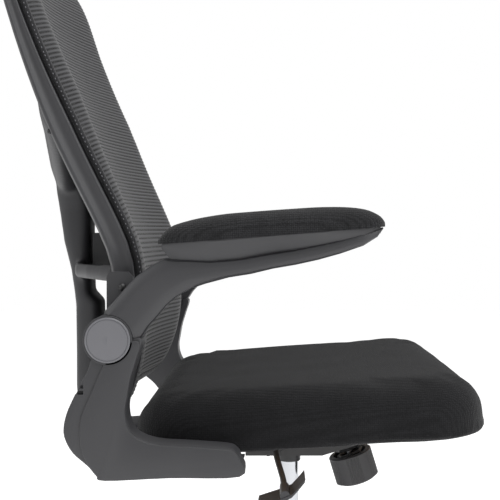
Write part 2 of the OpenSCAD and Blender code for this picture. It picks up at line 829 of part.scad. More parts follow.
module m6_bolts() {
    color(screw_tone) seat_place() {
        for (x = [-plate_bolt_x, plate_bolt_x]) for (y = [plate_bolt_front, plate_bolt_rear])
            translate([x, y, 0]) m6_bolt(plate_t);
        for (x = [-tongue_bolt_x, tongue_bolt_x]) for (y = [tongue_bolt_front, tongue_bolt_rear])
            translate([x, y, 0]) m6_bolt(tongue_t);
        for (x = [-foot_bolt_x, foot_bolt_x]) for (y = [foot_bolt_front, foot_bolt_rear])
            translate([x, y, 0]) m6_bolt(foot_t);
    }
}

// Armrests. Outlines are shares measured from the pivot: forward and up for the arm
split_in = 1.5;
knuckle_split = arm_x - split_in;
knuckle_gap = 0.5;
pivot_bolt_r = 6;
pivot_head_r = 10;
pivot_head_h = 5;
pivot_socket_r = 4;
cap_ring = 2.3;
cap_r = knuckle_r - cap_ring;
cap_sink = 1.5;
cap_t = 3.5;
cap_clear = 0.3;
cap_ring_w = 2;
cap_dome = 0.8;
ear_in = back_hw + rail_w;
ear_t = 5;
pad_slope = 4.8;
pad_mid_share = [0.587, 0.914];
pad_y = pivot_y - pad_mid_share[0] * arm_reach;
// Height of the seam under the pad
function pad_foot(y) = pivot_z + pad_mid_share[1] * arm_rise - (y - pad_y) * tan(pad_slope);
// Stations of the arm from the pivot to the tip: lower edge and upper edge
arm_station_share = [
    [[0.02, -0.12], [-0.03, 0.02]],
    [[0.121, 0.03], [-0.016, 0.244]], [[0.143, 0.115], [0.019, 0.332]],
    [[0.178, 0.206], [0.057, 0.443]], [[0.213, 0.3], [0.098, 0.546]],
    [[0.248, 0.37], [0.133, 0.611]], [[0.302, 0.443], [0.178, 0.69]],
    [[0.349, 0.481], [0.205, 0.815]], [[0.4, 0.515], [0.27, 0.845]],
    [[0.47, 0.55], [0.35, 0.862]], [[0.552, 0.588], [0.44, 0.88]],
    [[0.635, 0.626], [0.54, 0.903]], [[0.714, 0.668], [0.65, 0.925]],
    [[0.794, 0.714], [0.762, 0.944]], [[0.863, 0.767], [0.85, 0.957]],
    [[0.92, 0.82], [0.92, 0.966]], [[0.962, 0.878], [0.967, 0.973]],
    [[0.984, 0.955], [0.989, 0.977]]
];
// Section of the arm: share of its half width, and share of the way up
arm_section_share = [
    [-0.78, 0], [0.78, 0], [1, 0.12], [1, 0.5], [0.84, 0.6], [0.78, 1],
    [-0.78, 1], [-0.84, 0.6], [-1, 0.5], [-1, 0.12]
];
arm_tip_share = 0.62;

function arm_ring(q, half) =
    let (low = [pivot_y - q[0][0] * arm_reach, pivot_z + q[0][1] * arm_rise])
    let (top = [pivot_y - q[1][0] * arm_reach, pivot_z + q[1][1] * arm_rise])
    [for (s = arm_section_share)
        [arm_x + s[0] * half, mix(low[0], top[0], s[1]), mix(low[1], top[1], s[1])]];

// Flared tray that carries the pad: station forward of the pivot, foot height, and half width
// of the rim, from the rear end to the front
tray_share = [
    [0.19, 0.779, 0.32], [0.213, 0.733, 0.485], [0.254, 0.695, 0.645], [0.311, 0.672, 0.76],
    [0.432, 0.695, 0.853], [0.59, 0.748, 0.868], [0.711, 0.798, 0.86], [0.857, 0.874, 0.765],
    [0.937, 0.924, 0.585], [0.978, 0.95, 0.36]
];
tray_lip = 2;
tray_foot_share = 0.22;

function tray_ring(q) =
    let (y = pivot_y - q[0] * arm_reach, rim_z = pad_foot(y), foot_z = pivot_z + q[1] * arm_rise)
    let (wide = q[2] * pad_w / 2, near = tray_foot_share * pad_w / 2, lip_z = rim_z - tray_lip)
    let (half = [-wide, -wide, -near, near, wide, wide], up = [rim_z, lip_z, foot_z, foot_z, lip_z, rim_z])
    [for (i = [0:len(half) - 1]) [arm_x + half[i], y, up[i]]];

module arm_body() {
    stations = len(arm_station_share);
    color(plastic_tone) difference() {
        union() {
            difference() {
                skin([for (i = [0:stations - 1]) arm_ring(arm_station_share[i],
                    arm_w / 2 * mix(1, arm_tip_share, pow(i / (stations - 1), 4)))]);
                bar_x(knuckle_r + knuckle_gap, arm_in - over, arm_out + over, pivot_y, pivot_z);
            }
            bar_x(knuckle_r, arm_in, knuckle_split - knuckle_gap / 2, pivot_y, pivot_z);
            arm_web();
            skin([for (q = tray_share) tray_ring(q)]);
        }
        bar_x(pivot_bolt_r + run_fit, arm_in - over, arm_out, pivot_y, pivot_z);
    }
}

// Bridge that joins the inner knuckle to the arm, kept to the arm's half of the thickness
module arm_web() {
    low = arm_station_share[1];
    out = arm_station_share[2];
    slab_x(arm_in + over, knuckle_split - knuckle_gap / 2 - over) polygon([
        [pivot_y, pivot_z + knuckle_gap],
        [pivot_y - low[0][0] * arm_reach, pivot_z + low[0][1] * arm_rise + knuckle_gap],
        [pivot_y - out[0][0] * arm_reach, pivot_z + out[0][1] * arm_rise],
        [pivot_y - out[1][0] * arm_reach, pivot_z + out[1][1] * arm_rise],
        [pivot_y - low[1][0] * arm_reach, pivot_z + low[1][1] * arm_rise]
    ]);
}

// Pad on top of the arm
pad_points = 36;
pad_p = 2.6;
pad_share = [
    [0.1, 0], [0.95, 0], [0.99, 0.08], [1, 0.3], [0.97, 0.55],
    [0.91, 0.75], [0.78, 0.9], [0.5, 0.98], [0.15, 1]
];

module arm_pad() {
    color(fabric_tone)
        translate([arm_x, pad_y, pad_foot(pad_y) + seat_gap])
            rotate([-pad_slope, 0, 0]) skin([for (q = pad_share)
                [for (i = [0:pad_points - 1])
                    let (p = oval(360 * i / pad_points, pad_w / 2 * q[0], pad_l / 2 * q[0], pad_p))
                    [p[0], p[1], q[1] * pad_h]]]);
}

// Bracket outline, as shares behind the pivot and below it, from the front of the knuckle down
bracket_share = [
    [-0.185, 0.022], [-0.16, 0.145], [-0.13, 0.27], [-0.11, 0.409], [-0.1, 0.497], [-0.11, 0.591],
    [-0.145, 0.673], [-0.21, 0.717], [-0.3, 0.742], [-0.48, 0.755], [-0.67, 0.774], [-0.72, 0.799],
    [-0.745, 0.843], [-0.745, 0.972], [-0.345, 0.981], [0.018, 1], [0.065, 0.972], [0.115, 0.899],
    [0.2, 0.805], [0.245, 0.704], [0.2525, 0.623], [0.235, 0.522], [0.2, 0.421], [0.155, 0.308],
    [0.115, 0.214], [0.09, 0.13], [0.02, 0.02], [-0.1, 0.012]
];
// Edge between the raised face and the lower rear band, same measure
band_share = [
    [0.035, 0.204], [0.09, 0.365], [0.145, 0.522], [0.16, 0.635], [0.15, 0.774], [0.115, 0.874],
    [0.065, 0.956], [0.03, 1.05], [0.5, 1.05], [0.5, 0.1], [0.06, 0.14]
];
band_depth = 3;
bracket_edge = 2.5;

corner_share = 0.25;
function from_pivot(q) = [pivot_y + q[0] * bracket_reach, pivot_z - q[1] * bracket_drop];
// Outline with each corner cut across twice as wide as the one before
function eased(line) = [
    for (i = [0:len(line) - 1])
    let (a = line[i], b = line[(i + 1) % len(line)])
    each [mix(a, b, corner_share), mix(b, a, corner_share)]
];
// Outline moved inward by d
function inset(line, d) = [
    for (i = [0:len(line) - 1])
    let (n = len(line), t = unit(line[(i + 1) % n] - line[(i + n - 1) % n]))
    line[i] + d * [-t[1], t[0]]
];

// The slab, with its outer rim cut off by a ring that runs along the outline
module bracket_slab() {
    line = eased([for (q = bracket_share) from_pivot(q)]);
    deep = inset(line, bracket_edge + over);
    wide = inset(line, -over);
    difference() {
        slab_x(arm_in, arm_out) polygon(line);
        skin([for (i = [0:len(line) - 1]) [
            concat(arm_out - bracket_edge - over, wide[i]),
            concat(arm_out + over, wide[i]),
            concat(arm_out + over, deep[i])
        ]], loop = true);
    }
}

module arm_bracket() {
    color(plastic_tone) difference() {
        union() {
            difference() {
                bracket_slab();
                slab_x(arm_out - band_depth, arm_out + over)
                    polygon([for (q = band_share) from_pivot(q)]);
                bar_x(knuckle_r + knuckle_gap, arm_in - over, knuckle_split + knuckle_gap / 2,
                    pivot_y, pivot_z);
            }
            bar_x(knuckle_r, knuckle_split + knuckle_gap / 2, arm_out, pivot_y, pivot_z);
            seat_place() translate([foot_in, foot_front, -foot_t])
                cube([arm_x - foot_in, foot_rear - foot_front, foot_t]);
        }
        bar_x(pivot_bolt_r + run_fit, arm_in - over, arm_out + over, pivot_y, pivot_z);
        bar_x(pivot_head_r + run_fit, arm_out - cap_sink - pivot_head_h, arm_out + over, pivot_y, pivot_z);
        bar_x(cap_r + cap_clear, arm_out - cap_sink, arm_out + over, pivot_y, pivot_z);
        seat_place() for (y = [foot_bolt_front, foot_bolt_rear])
            translate([foot_bolt_x, y, -foot_t - over]) cylinder(r = bolt_hole_r, h = foot_t + 2 * over);
    }
}

module pivot_bolt() {
    head_in = arm_out - cap_sink - pivot_head_h;
    difference() {
        union() {
            bar_x(pivot_bolt_r, ear_in - ear_t / 2, head_in + over, pivot_y, pivot_z);
            bar_x(pivot_head_r, head_in, head_in + pivot_head_h - seat_gap, pivot_y, pivot_z);
        }
        translate([head_in + over, pivot_y, pivot_z]) rotate([0, 90, 0])
            cylinder(r = pivot_socket_r, h = pivot_head_h, $fn = 6);
    }
}

module pivot_bolts() {
    color(screw_tone) {
        pivot_bolt();
        right_side() pivot_bolt();
    }
}

module pivot_cap() {
    translate([arm_out - cap_sink, pivot_y, pivot_z]) rotate([0, 90, 0]) rotate_extrude() polygon([
        [0, 0], [cap_r, 0], [cap_r, cap_t - cap_dome], [cap_r - cap_dome, cap_t],
        [cap_r - cap_ring_w, cap_t], [cap_r - cap_ring_w - cap_dome / 2, cap_t - cap_dome],
        [cap_r - cap_ring_w - cap_dome, cap_t - cap_dome / 2], [0, cap_t]
    ]);
}

module pivot_caps() {
    color(cap_tone) {
        pivot_cap();
        right_side() pivot_cap();
    }
}

// Back surface: distance behind the lift axis at [x, z]
lean_round = 60;
ease_round = 50;
kick_round = 30;
ease_share = 0.15;
kick_share = 0.245;
deep_z = 800;
thin_z = 950;
// Zero, then a straight rise, with a rounded start of size r
function soft(d, r) = (d + sqrt(d * d + r * r)) / 2;
function soft_slope(d, r) = (1 + d / sqrt(d * d + r * r)) / 2;
function rail_line(z) = rail_y + lean_share * soft(z - lean_z, lean_round)
    - ease_share * soft(z - ease_z, ease_round) + kick_share * soft(kick_z - z, kick_round);
function rail_slope(z) = lean_share * soft_slope(z - lean_z, lean_round)
    - ease_share * soft_slope(z - ease_z, ease_round) - kick_share * soft_slope(kick_z - z, kick_round);
function back_line(x, z) = rail_line(z) + back_bow * (1 - pow(min(1, abs(x) / back_hw), 2));
function rail_half(z) = mix(rail_deep, rail_thin, clamp01((z - deep_z) / (thin_z - deep_z))) / 2;
back_mid_z = (back_low_z + back_top_z) / 2;
back_hh = (back_top_z - back_low_z) / 2;
back_p = 7;
frame_rings = 88;
ring_crowd = 8;

function loop_point(a, inset) =
    let (p = oval(a, back_hw - inset, back_hh - inset, back_p), z = back_mid_z + p[1])
    [p[0], back_line(p[0], z), z];
function loop_frame(a, inset) =
    let (step = 1, t = unit(loop_point(a + step, inset) - loop_point(a - step, inset)))
    let (p = loop_point(a, inset), q = loop_point(a, inset + one), o = unit((p - q) - ((p - q) * t) * t))
    [p, o, cross(t, o)];
function loop_ring(a, inset, section) =
    let (f = loop_frame(a, inset)) placed(section, f[0], f[1], f[2]);
// Angles that crowd the rings into the corners
function loop_angle(i) = 360 * i / frame_rings + ring_crowd * sin(4 * 360 * i / frame_rings);
rail_section_share = [
    [-1, -0.5], [-0.6, -1], [0.7, -1], [1, -0.75], [0.72, -0.2], [0.72, 0.25],
    [1, 0.75], [0.6, 1], [-0.5, 1], [-1, 0.6]
];

screw_r = 2.5;
screw_head_r = 4.5;
screw_head_h = 2.5;
ear_top_z = 624;
ear_screw_down = [18, 42];
ear_screw_z = [for (down = ear_screw_down) ear_top_z - down];
branch_z = 803;
branch_screw_l = 26;
// Sideways slope that the bow gives each rail
bow_tilt = atan(2 * back_bow / back_hw);

function rail_x(z) = let (t = (z - back_mid_z) / back_hh)
    back_hw * pow(1 - pow(abs(t), back_p), 1 / back_p);

// Outermost point of a rail at height z
function rail_face_x(z) = rail_x(z) + rail_w / 2 * cos(bow_tilt) + rail_half(z) * sin(bow_tilt);
branch_up = (branch_z - back_mid_z) / back_hh;
branch_at = loop_frame(atan2(branch_up, pow(1 - pow(abs(branch_up), back_p), 1 / back_p)), 0);

// Frame of the joint between a branch and its rail: +Z points out of the rail's rear face
module branch_place() {
    p = branch_at[0];
    o = branch_at[1];
    w = branch_at[2];
    v = cross(w, o);
    rows = [for (i = [0:2]) [o[i], v[i], w[i], p[i]]];
    multmatrix(concat(rows, [[0, 0, 0, one]])) children();
}

module back_frame() {
    color(plastic_tone) difference() {
        skin([for (i = [0:frame_rings - 1])
            let (a = loop_angle(i), z = loop_point(a, 0)[2])
            loop_ring(a, 0, [for (s = rail_section_share) [s[0] * rail_w / 2, s[1] * rail_half(z)]])
        ], true);
        for (side = [0, 1]) mirror([side, 0, 0]) {
            for (z = ear_screw_z) bar_x(screw_r + run_fit, rail_x(z) - over, ear_in, rail_line(z), z);
            branch_place() translate([0, 0, -rail_thin / 4]) cylinder(r = screw_r + run_fit, h = rail_deep);
        }
    }
}

band_half_w = 6;
band_half_t = 4.5;
band_inset = 4;
band_sides = 8;

module mesh_edge_band() {
    color(fabric_tone) skin([for (i = [0:frame_rings - 1])
        let (a = loop_angle(i), z = loop_point(a, 0)[2])
        loop_ring(a, 0, [for (k = [0:band_sides - 1])
            let (b = 360 * (k + 0.5) / band_sides)
            [-band_inset + band_half_w * cos(b),
                -rail_half(z) - band_half_t - seat_gap + band_half_t * sin(b)]])
    ], true);
}

// Mesh panel stretched inside the edge band, rolled forward next to it: rings as shares of the
// outline, each with its share of the roll
mesh_ring_share = [[0.06, 0.5], [0.5, 0.75], [0.85, 1], [0.93, 0.94], [0.975, 0.45], [1, 0]];
roll_low_z = 700;
roll_high_z = 830;
function mesh_roll(z) = mix(roll_low, roll_high, clamp01((z - roll_low_z) / (roll_high_z - roll_low_z)));
mesh_inset = band_inset + band_half_w + 2 * seat_gap;
function mesh_line(x, z) =
    back_line(x, z) - (rail_half(z) + band_half_t + seat_gap) * sqrt(1 + pow(rail_slope(z), 2));
mesh_edge = [for (i = [0:frame_rings - 1])
    let (f = loop_frame(loop_angle(i), 0), half = rail_half(f[0][2]))
    let (p = f[0] - mesh_inset * f[1] - (half + band_half_t + seat_gap) * f[2])
    [p[0], p[2] - back_mid_z, p[1] - mesh_line(p[0], p[2])]];

// Ring of the mesh, eased onto the band at its edge
function mesh_ring(q, back) = [
    for (p = mesh_edge)
    let (x = p[0] * q[0], z = back_mid_z + p[1] * q[0])
    [x, mesh_line(x, z) + p[2] * pow(q[0], 3) - mesh_roll(z) * q[1] + back, z]
];

module back_mesh() {
    last = len(mesh_ring_share) - 1;
    color(fabric_tone) skin(concat(
        [for (q = mesh_ring_share) mesh_ring(q, -mesh_t / 2)],
        [for (i = [last:-1:0]) mesh_ring(mesh_ring_share[i], mesh_t / 2)]
    ));
}

// Lumbar support behind the mesh, on the front of the spine
lumbar_hw = 150;
lumbar_hh = 42;
lumbar_z = 646;
lumbar_behind = 14;
lumbar_t = 12;
lumbar_steps = 16;
lumbar_end_share = 0.97;
lumbar_rows = 4;
lumbar_bulge = 0.6;
lumbar_block_w = 44;
lumbar_block_h = 46;
spine_front = 282;

// Upright section of the lumbar support at share t of its half width. The two end sections bulge a
// little, so that their flat faces have no hollow side.
function lumbar_ring(t) =
    let (x = t * lumbar_hw, h = lumbar_hh * pow(1 - pow(abs(t) * lumbar_end_share, 4), 1 / 4))
    let (near = lumbar_behind + mesh_t / 2, rows = [for (i = [0:lumbar_rows]) mix(-h, h, i / lumbar_rows)])
    let (low_y = mesh_line(x, lumbar_z - h), high_y = mesh_line(x, lumbar_z + h), inner = abs(t) < one)
    let (line = [for (z = rows) inner ? mesh_line(x, lumbar_z + z) : mix(low_y, high_y, (z + h) / (h + h))])
    let (bulge = [for (z = rows) inner ? 0 : lumbar_bulge * (1 - pow(z / h, 2))])
    concat(
        [for (i = [0:lumbar_rows]) [x, line[i] + near + lumbar_t + bulge[i], lumbar_z + rows[i]]],
        [for (i = [lumbar_rows:-1:0]) [x, line[i] + near - bulge[i], lumbar_z + rows[i]]]
    );

module lumbar_support() {
    block_y = mesh_line(0, lumbar_z) + lumbar_behind + mesh_t / 2 + lumbar_t / 2;
    color(plastic_tone) {
        skin([for (i = [0:lumbar_steps]) lumbar_ring(mix(-1, 1, i / lumbar_steps))]);
        translate([-lumbar_block_w / 2, block_y, lumbar_z - lumbar_block_h / 2])
            cube([lumbar_block_w, spine_front - seat_gap - block_y, lumbar_block_h]);
    }
}

// Spine from under the seat up to the fork, drawn as [y, z, half width, half thickness]
spine_reach = 289;
spine_rise = 361;
spine_w = 64;
spine_deep = 42;
tongue_end_share = 0.83;
spine_low_w_share = 0.95;
stub_t_share = 0.3;
spine_section_share = [
    [-1, -0.55], [-0.75, -1], [0.75, -1], [1, -0.55], [1, 0.5], [0.6, 1], [-0.6, 1], [-1, 0.5]
];
spine_share = [
    [0.37, 0.0, 1.5, 0.238], [0.55, 0.0, 1.5, 0.238], [0.7, 0.0, 1.4, 0.238], [0.83, -0.002, 1.15, 0.34],
    [0.93, 0.022, 1, 0.55], [0.985, 0.075, 1, 0.75], [1.0, 0.16, 1, 0.81], [1.0, 0.3, 0.95, 0.83],
    [1.005, 0.42, 0.95, 0.93], [1.008, 0.5, 0.95, 0.95], [1.01, 0.525, 0.95, 0.95]
];
// Upper spine: height above the fork's foot, and where its rear face lies behind its front face
spine_upper_share = [[0, 0.76], [0.3, 0.9], [0.62, 1.05], [1, 1.2]];
upper_from = 592;
upper_to = 712;
top_w_share = 0.8;
stub_back = 40;
stub_up = 30;

function spine_half(q) = q[2] * spine_w / 2;
function spine_section(hw, ht) = [for (s = spine_section_share) [s[0] * hw, s[1] * ht]];
function spine_path() = concat(
    [for (q = spine_share)
        let (y = q[0] * spine_reach)
        let (low = seat_z(min(y, spine_reach * tongue_end_share)) - tongue_t / 2 / cos(seat_slope))
        [y, low + q[1] * spine_rise, spine_half(q), q[3] * spine_deep / 2]],
    [for (q = spine_upper_share)
        let (half = q[1] * spine_deep / 2)
        [spine_front + half, mix(upper_from, upper_to, q[0]),
            mix(spine_w * spine_low_w_share, spine_w * top_w_share, q[0]) / 2, half]],
    [[spine_front + stub_back, upper_to + stub_up, spine_w * top_w_share / 2, spine_deep * stub_t_share]]
);

module spine() {
    path = spine_path();
    last = len(path) - 1;
    skin([for (i = [0:last])
        let (a = path[max(0, i - 1)], b = path[min(last, i + 1)])
        let (t = unit([0, b[0] - a[0], b[1] - a[1]]), o = [one, 0, 0])
        placed(spine_section(path[i][2], path[i][3]), [0, path[i][0], path[i][1]], o, cross(t, o))]);
}

// Branch from the spine out to the rail
branch_w = 30;
branch_t = 13;
branch_steps = 8;
branch_in = 4;
branch_back = 30;
branch_down = 6;
branch_sag = 14;
branch_wide_share = [1.25, 0.8];
branch_boss_share = 0.4;
branch_section_share = [
    [-1, -0.6], [-0.7, -1], [0.7, -1], [1, -0.6], [1, 0.6], [0.7, 1], [-0.7, 1], [-1, 0.6]
];
function branch_point(t) =
    let (a = [branch_in, spine_front + branch_back, upper_to - branch_down])
    let (e = branch_at[0] + branch_at[2] * (rail_half(branch_z) + seat_gap + branch_t / 2 + over))
    [mix(a[0], e[0], t), mix(a[1], e[1], t) + branch_sag * sin(180 * t), mix(a[2], e[2], sin(90 * t))];

module branch() {
    d = 1 / branch_steps;
    skin([for (i = [0:branch_steps])
        let (t = i * d, along = unit(branch_point(min(1, t + d)) - branch_point(max(0, t - d))))
        let (rise = [0, rail_slope(branch_z), one], up = unit(rise - (rise * along) * along))
        let (w = cross(along, up))
        let (half = branch_w / 2 * mix(branch_wide_share[0], branch_wide_share[1], t))
        placed([for (s = branch_section_share) [s[0] * half, s[1] * branch_t / 2]],
            branch_point(t), up, w)]);
    branch_place() translate([0, 0, rail_half(branch_z) + seat_gap])
        cylinder(r = branch_w * branch_boss_share, h = branch_t);
}

module back_support() {
    color(plastic_tone) difference() {
        union() {
            spine();
            branch();
            right_side() branch();
        }
        for (side = [0, 1]) mirror([side, 0, 0]) branch_place() {
            cylinder(r = screw_r + run_fit, h = branch_screw_l + over);
            translate([0, 0, rail_half(branch_z) + branch_t])
                cylinder(r = screw_head_r + over, h = branch_t);
        }
        seat_place() for (x = [-tongue_bolt_x, tongue_bolt_x])
            for (y = [tongue_bolt_front, tongue_bolt_rear])
                translate([x, y, -2 * tongue_t]) cylinder(r = bolt_hole_r, h = 3 * tongue_t);
        seat_place() translate([-spine_w, 0, 0]) cube([2 * spine_w, tongue_clear, spine_deep]);
    }
}

// Steel ear that ties the foot of each rail to the armrest pivot
ear_rear_y = 219;
ear_front_y = 188;
ear_spacer_r = 14;
ear_boss_r = 6.5;
ear_round = 6;

module ear_plate() {
    round_cut = ear_round;
    color(plastic_tone) difference() {
        union() {
            slab_x(ear_in, ear_in + ear_t) {
                translate([pivot_y, pivot_z]) circle(r = knuckle_r - ear_t);
                polygon([
                    [pivot_y - knuckle_r + ear_t, pivot_z], [pivot_y + knuckle_r - ear_t, pivot_z],
                    [ear_rear_y, pivot_z + knuckle_r], [ear_rear_y, ear_top_z - round_cut],
                    [ear_rear_y - round_cut / 3, ear_top_z - round_cut / 3],
                    [ear_rear_y - round_cut, ear_top_z], [ear_front_y + round_cut, ear_top_z],
                    [ear_front_y, ear_top_z - round_cut]
                ]);
            }
            bar_x(ear_spacer_r, ear_in + ear_t / 2, arm_in - seat_gap, pivot_y, pivot_z);
            for (z = ear_screw_z)
                bar_x(ear_boss_r, rail_face_x(z) + seat_gap, ear_in + ear_t / 2, rail_line(z), z);
        }
        bar_x(pivot_bolt_r + run_fit, ear_in - over, arm_in, pivot_y, pivot_z);
        for (z = ear_screw_z) bar_x(screw_r + run_fit, rail_x(z), ear_in + ear_t + over, rail_line(z), z);
    }
}

module frame_screws() {
    head_h = screw_head_h;
    color(screw_tone) for (side = [0, 1]) mirror([side, 0, 0]) {
        for (z = ear_screw_z) {
            bar_x(screw_r, rail_x(z), ear_in + ear_t + over, rail_line(z), z);
            bar_x(screw_head_r, ear_in + ear_t, ear_in + ear_t + head_h, rail_line(z), z);
        }
        branch_place() {
            cylinder(r = screw_r, h = rail_half(branch_z) + branch_t + head_h);
            translate([0, 0, rail_half(branch_z) + branch_t + seat_gap])
                cylinder(r = screw_head_r, h = head_h);
        }
    }
}

base_star();
caster_stems();
lift_column();
guide_bush();
thrust_bearing();
piston_rod();
rod_clip();
lift_cylinder();
release_button();
mechanism_housing();
tilt_bushes();
tilt_shaft();
lever_crank();
lever_rod();
lever_paddle();
seat_plate();
tension_bolt();
tension_spring();
tension_knob();
seat_board();
seat_cushion();
m6_bolts();
right_side() arm_bracket();  // arm_bracket_right
arm_bracket();  // arm_bracket_left
right_side() arm_body();  // arm_body_right
arm_body();  // arm_body_left
right_side() arm_pad();  // arm_pad_right
arm_pad();  // arm_pad_left
pivot_bolts();
pivot_caps();
right_side() ear_plate();  // ear_plate_right
ear_plate();  // ear_plate_left
back_support();
back_frame();
back_mesh();
mesh_edge_band();
lumbar_support();
frame_screws();
for (i = [0:arm_count - 1]) {
    caster_place(i) caster_housing();
    caster_place(i) caster_axle();
    caster_place(i) caster_wheel();
    caster_place(i) right_side() caster_wheel();
}
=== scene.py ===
import math

import bmesh
import bpy
from mathutils import Matrix, Vector, noise


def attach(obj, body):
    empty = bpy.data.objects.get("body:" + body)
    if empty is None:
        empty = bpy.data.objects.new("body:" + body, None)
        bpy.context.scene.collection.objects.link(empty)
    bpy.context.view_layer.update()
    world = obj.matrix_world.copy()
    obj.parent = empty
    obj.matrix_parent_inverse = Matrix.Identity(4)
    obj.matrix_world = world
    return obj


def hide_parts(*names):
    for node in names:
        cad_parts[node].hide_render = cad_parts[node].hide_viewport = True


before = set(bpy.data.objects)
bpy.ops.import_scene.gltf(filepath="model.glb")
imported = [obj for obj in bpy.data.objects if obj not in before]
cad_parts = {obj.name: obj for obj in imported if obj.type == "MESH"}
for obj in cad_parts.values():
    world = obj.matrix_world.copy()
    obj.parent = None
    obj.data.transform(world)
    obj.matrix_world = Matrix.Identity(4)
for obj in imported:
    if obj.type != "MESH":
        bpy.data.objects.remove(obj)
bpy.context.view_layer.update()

# The studio: a pale paper floor, three soft lights, a sky that looks white but lights gently, and
# a level camera on the sitter's right, as far off as the photograph was taken from.
camera = bpy.data.objects.new("camera", bpy.data.cameras.new("camera"))
bpy.context.scene.collection.objects.link(camera)
camera_away, camera_ahead, camera_height = 1.283, 0.025, 0.673
camera.location = (-camera_away, camera_ahead, camera_height)
camera.rotation_euler = (math.radians(90), 0, math.radians(-90))
camera.data.sensor_width = 36
camera.data.lens = 63.36
camera.data.shift_x = -0.044
camera.data.shift_y = -0.04
bpy.context.scene.camera = camera
bpy.context.scene.view_settings.view_transform = "Standard"


def soft_light(name, place, target, size, watts):
    """A square soft box at place, turned to face target."""
    lamp = bpy.data.objects.new(name, bpy.data.lights.new(name, "AREA"))
    lamp.data.size = size
    lamp.data.energy = watts
    lamp.location = place
    lamp.rotation_euler = (Vector(target) - Vector(place)).to_track_quat("-Z", "Y").to_euler()
    bpy.context.scene.collection.objects.link(lamp)


soft_light("light_above", (-0.6, -0.5, 2.6), (0, 0, 0.5), 1.8, 42)
soft_light("light_front", (-1.6, -1.8, 1.5), (0, 0, 0.6), 1.4, 16)
soft_light("light_rear", (-1.2, 2.2, 1.6), (0, 0.2, 0.6), 1.2, 12)

world = bpy.data.worlds.new("studio")
world.use_nodes = True
sky = world.node_tree.nodes
sky["Background"].inputs["Color"].default_value = (1, 1, 1, 1)
sky["Background"].inputs["Strength"].default_value = 0.45
bright = sky.new("ShaderNodeBackground")
bright.inputs["Color"].default_value = (1, 1, 1, 1)
bright.inputs["Strength"].default_value = 1.0
seen = sky.new("ShaderNodeLightPath")
choice = sky.new("ShaderNodeMixShader")
links = world.node_tree.links
links.new(seen.outputs["Is Camera Ray"], choice.inputs[0])
links.new(sky["Background"].outputs[0], choice.inputs[1])
links.new(bright.outputs[0], choice.inputs[2])
links.new(choice.outputs[0], sky["World Output"].inputs["Surface"])
bpy.context.scene.world = world

mesh = bpy.data.meshes.new("floor")
bm = bmesh.new()
bmesh.ops.create_grid(bm, x_segments=1, y_segments=1, size=6)
bm.to_mesh(mesh)
bm.free()
floor = bpy.data.objects.new("floor", mesh)
bpy.context.scene.collection.objects.link(floor)
paper = bpy.data.materials.new("pale_paper")
paper.use_nodes = True
shader = paper.node_tree.nodes["Principled BSDF"]
shader.inputs["Base Color"].default_value = (0.9, 0.9, 0.9, 1)
shader.inputs["Roughness"].default_value = 0.9
shader.inputs["Emission Color"].default_value = (1, 1, 1, 1)
shader.inputs["Emission Strength"].default_value = 0.6
mesh.materials.append(paper)

# Dark grey moulded plastic, used for the arms, brackets, back frame, spine, lever and knob.
# The moulds are etched with a fine leather grain, which the group below gives as a height.
def group(name, inputs, outputs):
    """A shader node group with float inputs (name, default) and outputs (name, kind)."""
    tree = bpy.data.node_groups.new(name, "ShaderNodeTree")
    for label, value in inputs:
        tree.interface.new_socket(label, in_out="INPUT", socket_type="NodeSocketFloat").default_value = value
    for label, kind in outputs:
        tree.interface.new_socket(label, in_out="OUTPUT", socket_type=kind)
    return tree, tree.nodes.new("NodeGroupInput"), tree.nodes.new("NodeGroupOutput")


grain, given, result = group("etched_grain", [("Scale", 900)],
                             [("Height", "NodeSocketFloat"), ("Tone", "NodeSocketFloat")])
place = grain.nodes.new("ShaderNodeTexCoord")
cells = grain.nodes.new("ShaderNodeTexVoronoi")
grain.links.new(place.outputs["Object"], cells.inputs["Vector"])
grain.links.new(given.outputs["Scale"], cells.inputs["Scale"])
haze = grain.nodes.new("ShaderNodeTexNoise")
haze.inputs["Scale"].default_value = 14
haze.inputs["Detail"].default_value = 5
grain.links.new(place.outputs["Object"], haze.inputs["Vector"])
grain.links.new(cells.outputs["Distance"], result.inputs["Height"])
grain.links.new(haze.outputs["Fac"], result.inputs["Tone"])


def finish(name, colour, roughness, metallic=0.0):
    """A new material with its shader's own colour, roughness and metallic values set."""
    material = bpy.data.materials.new(name)
    material.use_nodes = True
    shader = material.node_tree.nodes["Principled BSDF"]
    shader.inputs["Base Color"].default_value = (*colour, 1)
    shader.inputs["Roughness"].default_value = roughness
    shader.inputs["Metallic"].default_value = metallic
    return material, shader


def moulded(name, dark, light, roughness, scale=900, depth=0.00008):
    """Grained plastic whose colour drifts between dark and light over a few centimetres."""
    material, shader = finish(name, dark, roughness)
    tree = material.node_tree
    etch = tree.nodes.new("ShaderNodeGroup")
    etch.node_tree = grain
    etch.inputs["Scale"].default_value = scale
    drift = tree.nodes.new("ShaderNodeMix")
    drift.data_type = "RGBA"
    drift.inputs["A"].default_value = (*dark, 1)
    drift.inputs["B"].default_value = (*light, 1)
    bump = tree.nodes.new("ShaderNodeBump")
    bump.inputs["Strength"].default_value = 0.6
    bump.inputs["Distance"].default_value = depth
    tree.links.new(etch.outputs["Tone"], drift.inputs["Factor"])
    tree.links.new(drift.outputs["Result"], shader.inputs["Base Color"])
    tree.links.new(etch.outputs["Height"], bump.inputs["Height"])
    tree.links.new(bump.outputs["Normal"], shader.inputs["Normal"])
    return material


def dress(material, *names):
    """Gives CAD nodes one finish."""
    for name in names:
        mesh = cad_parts[name].data
        mesh.materials.clear()
        mesh.materials.append(material)


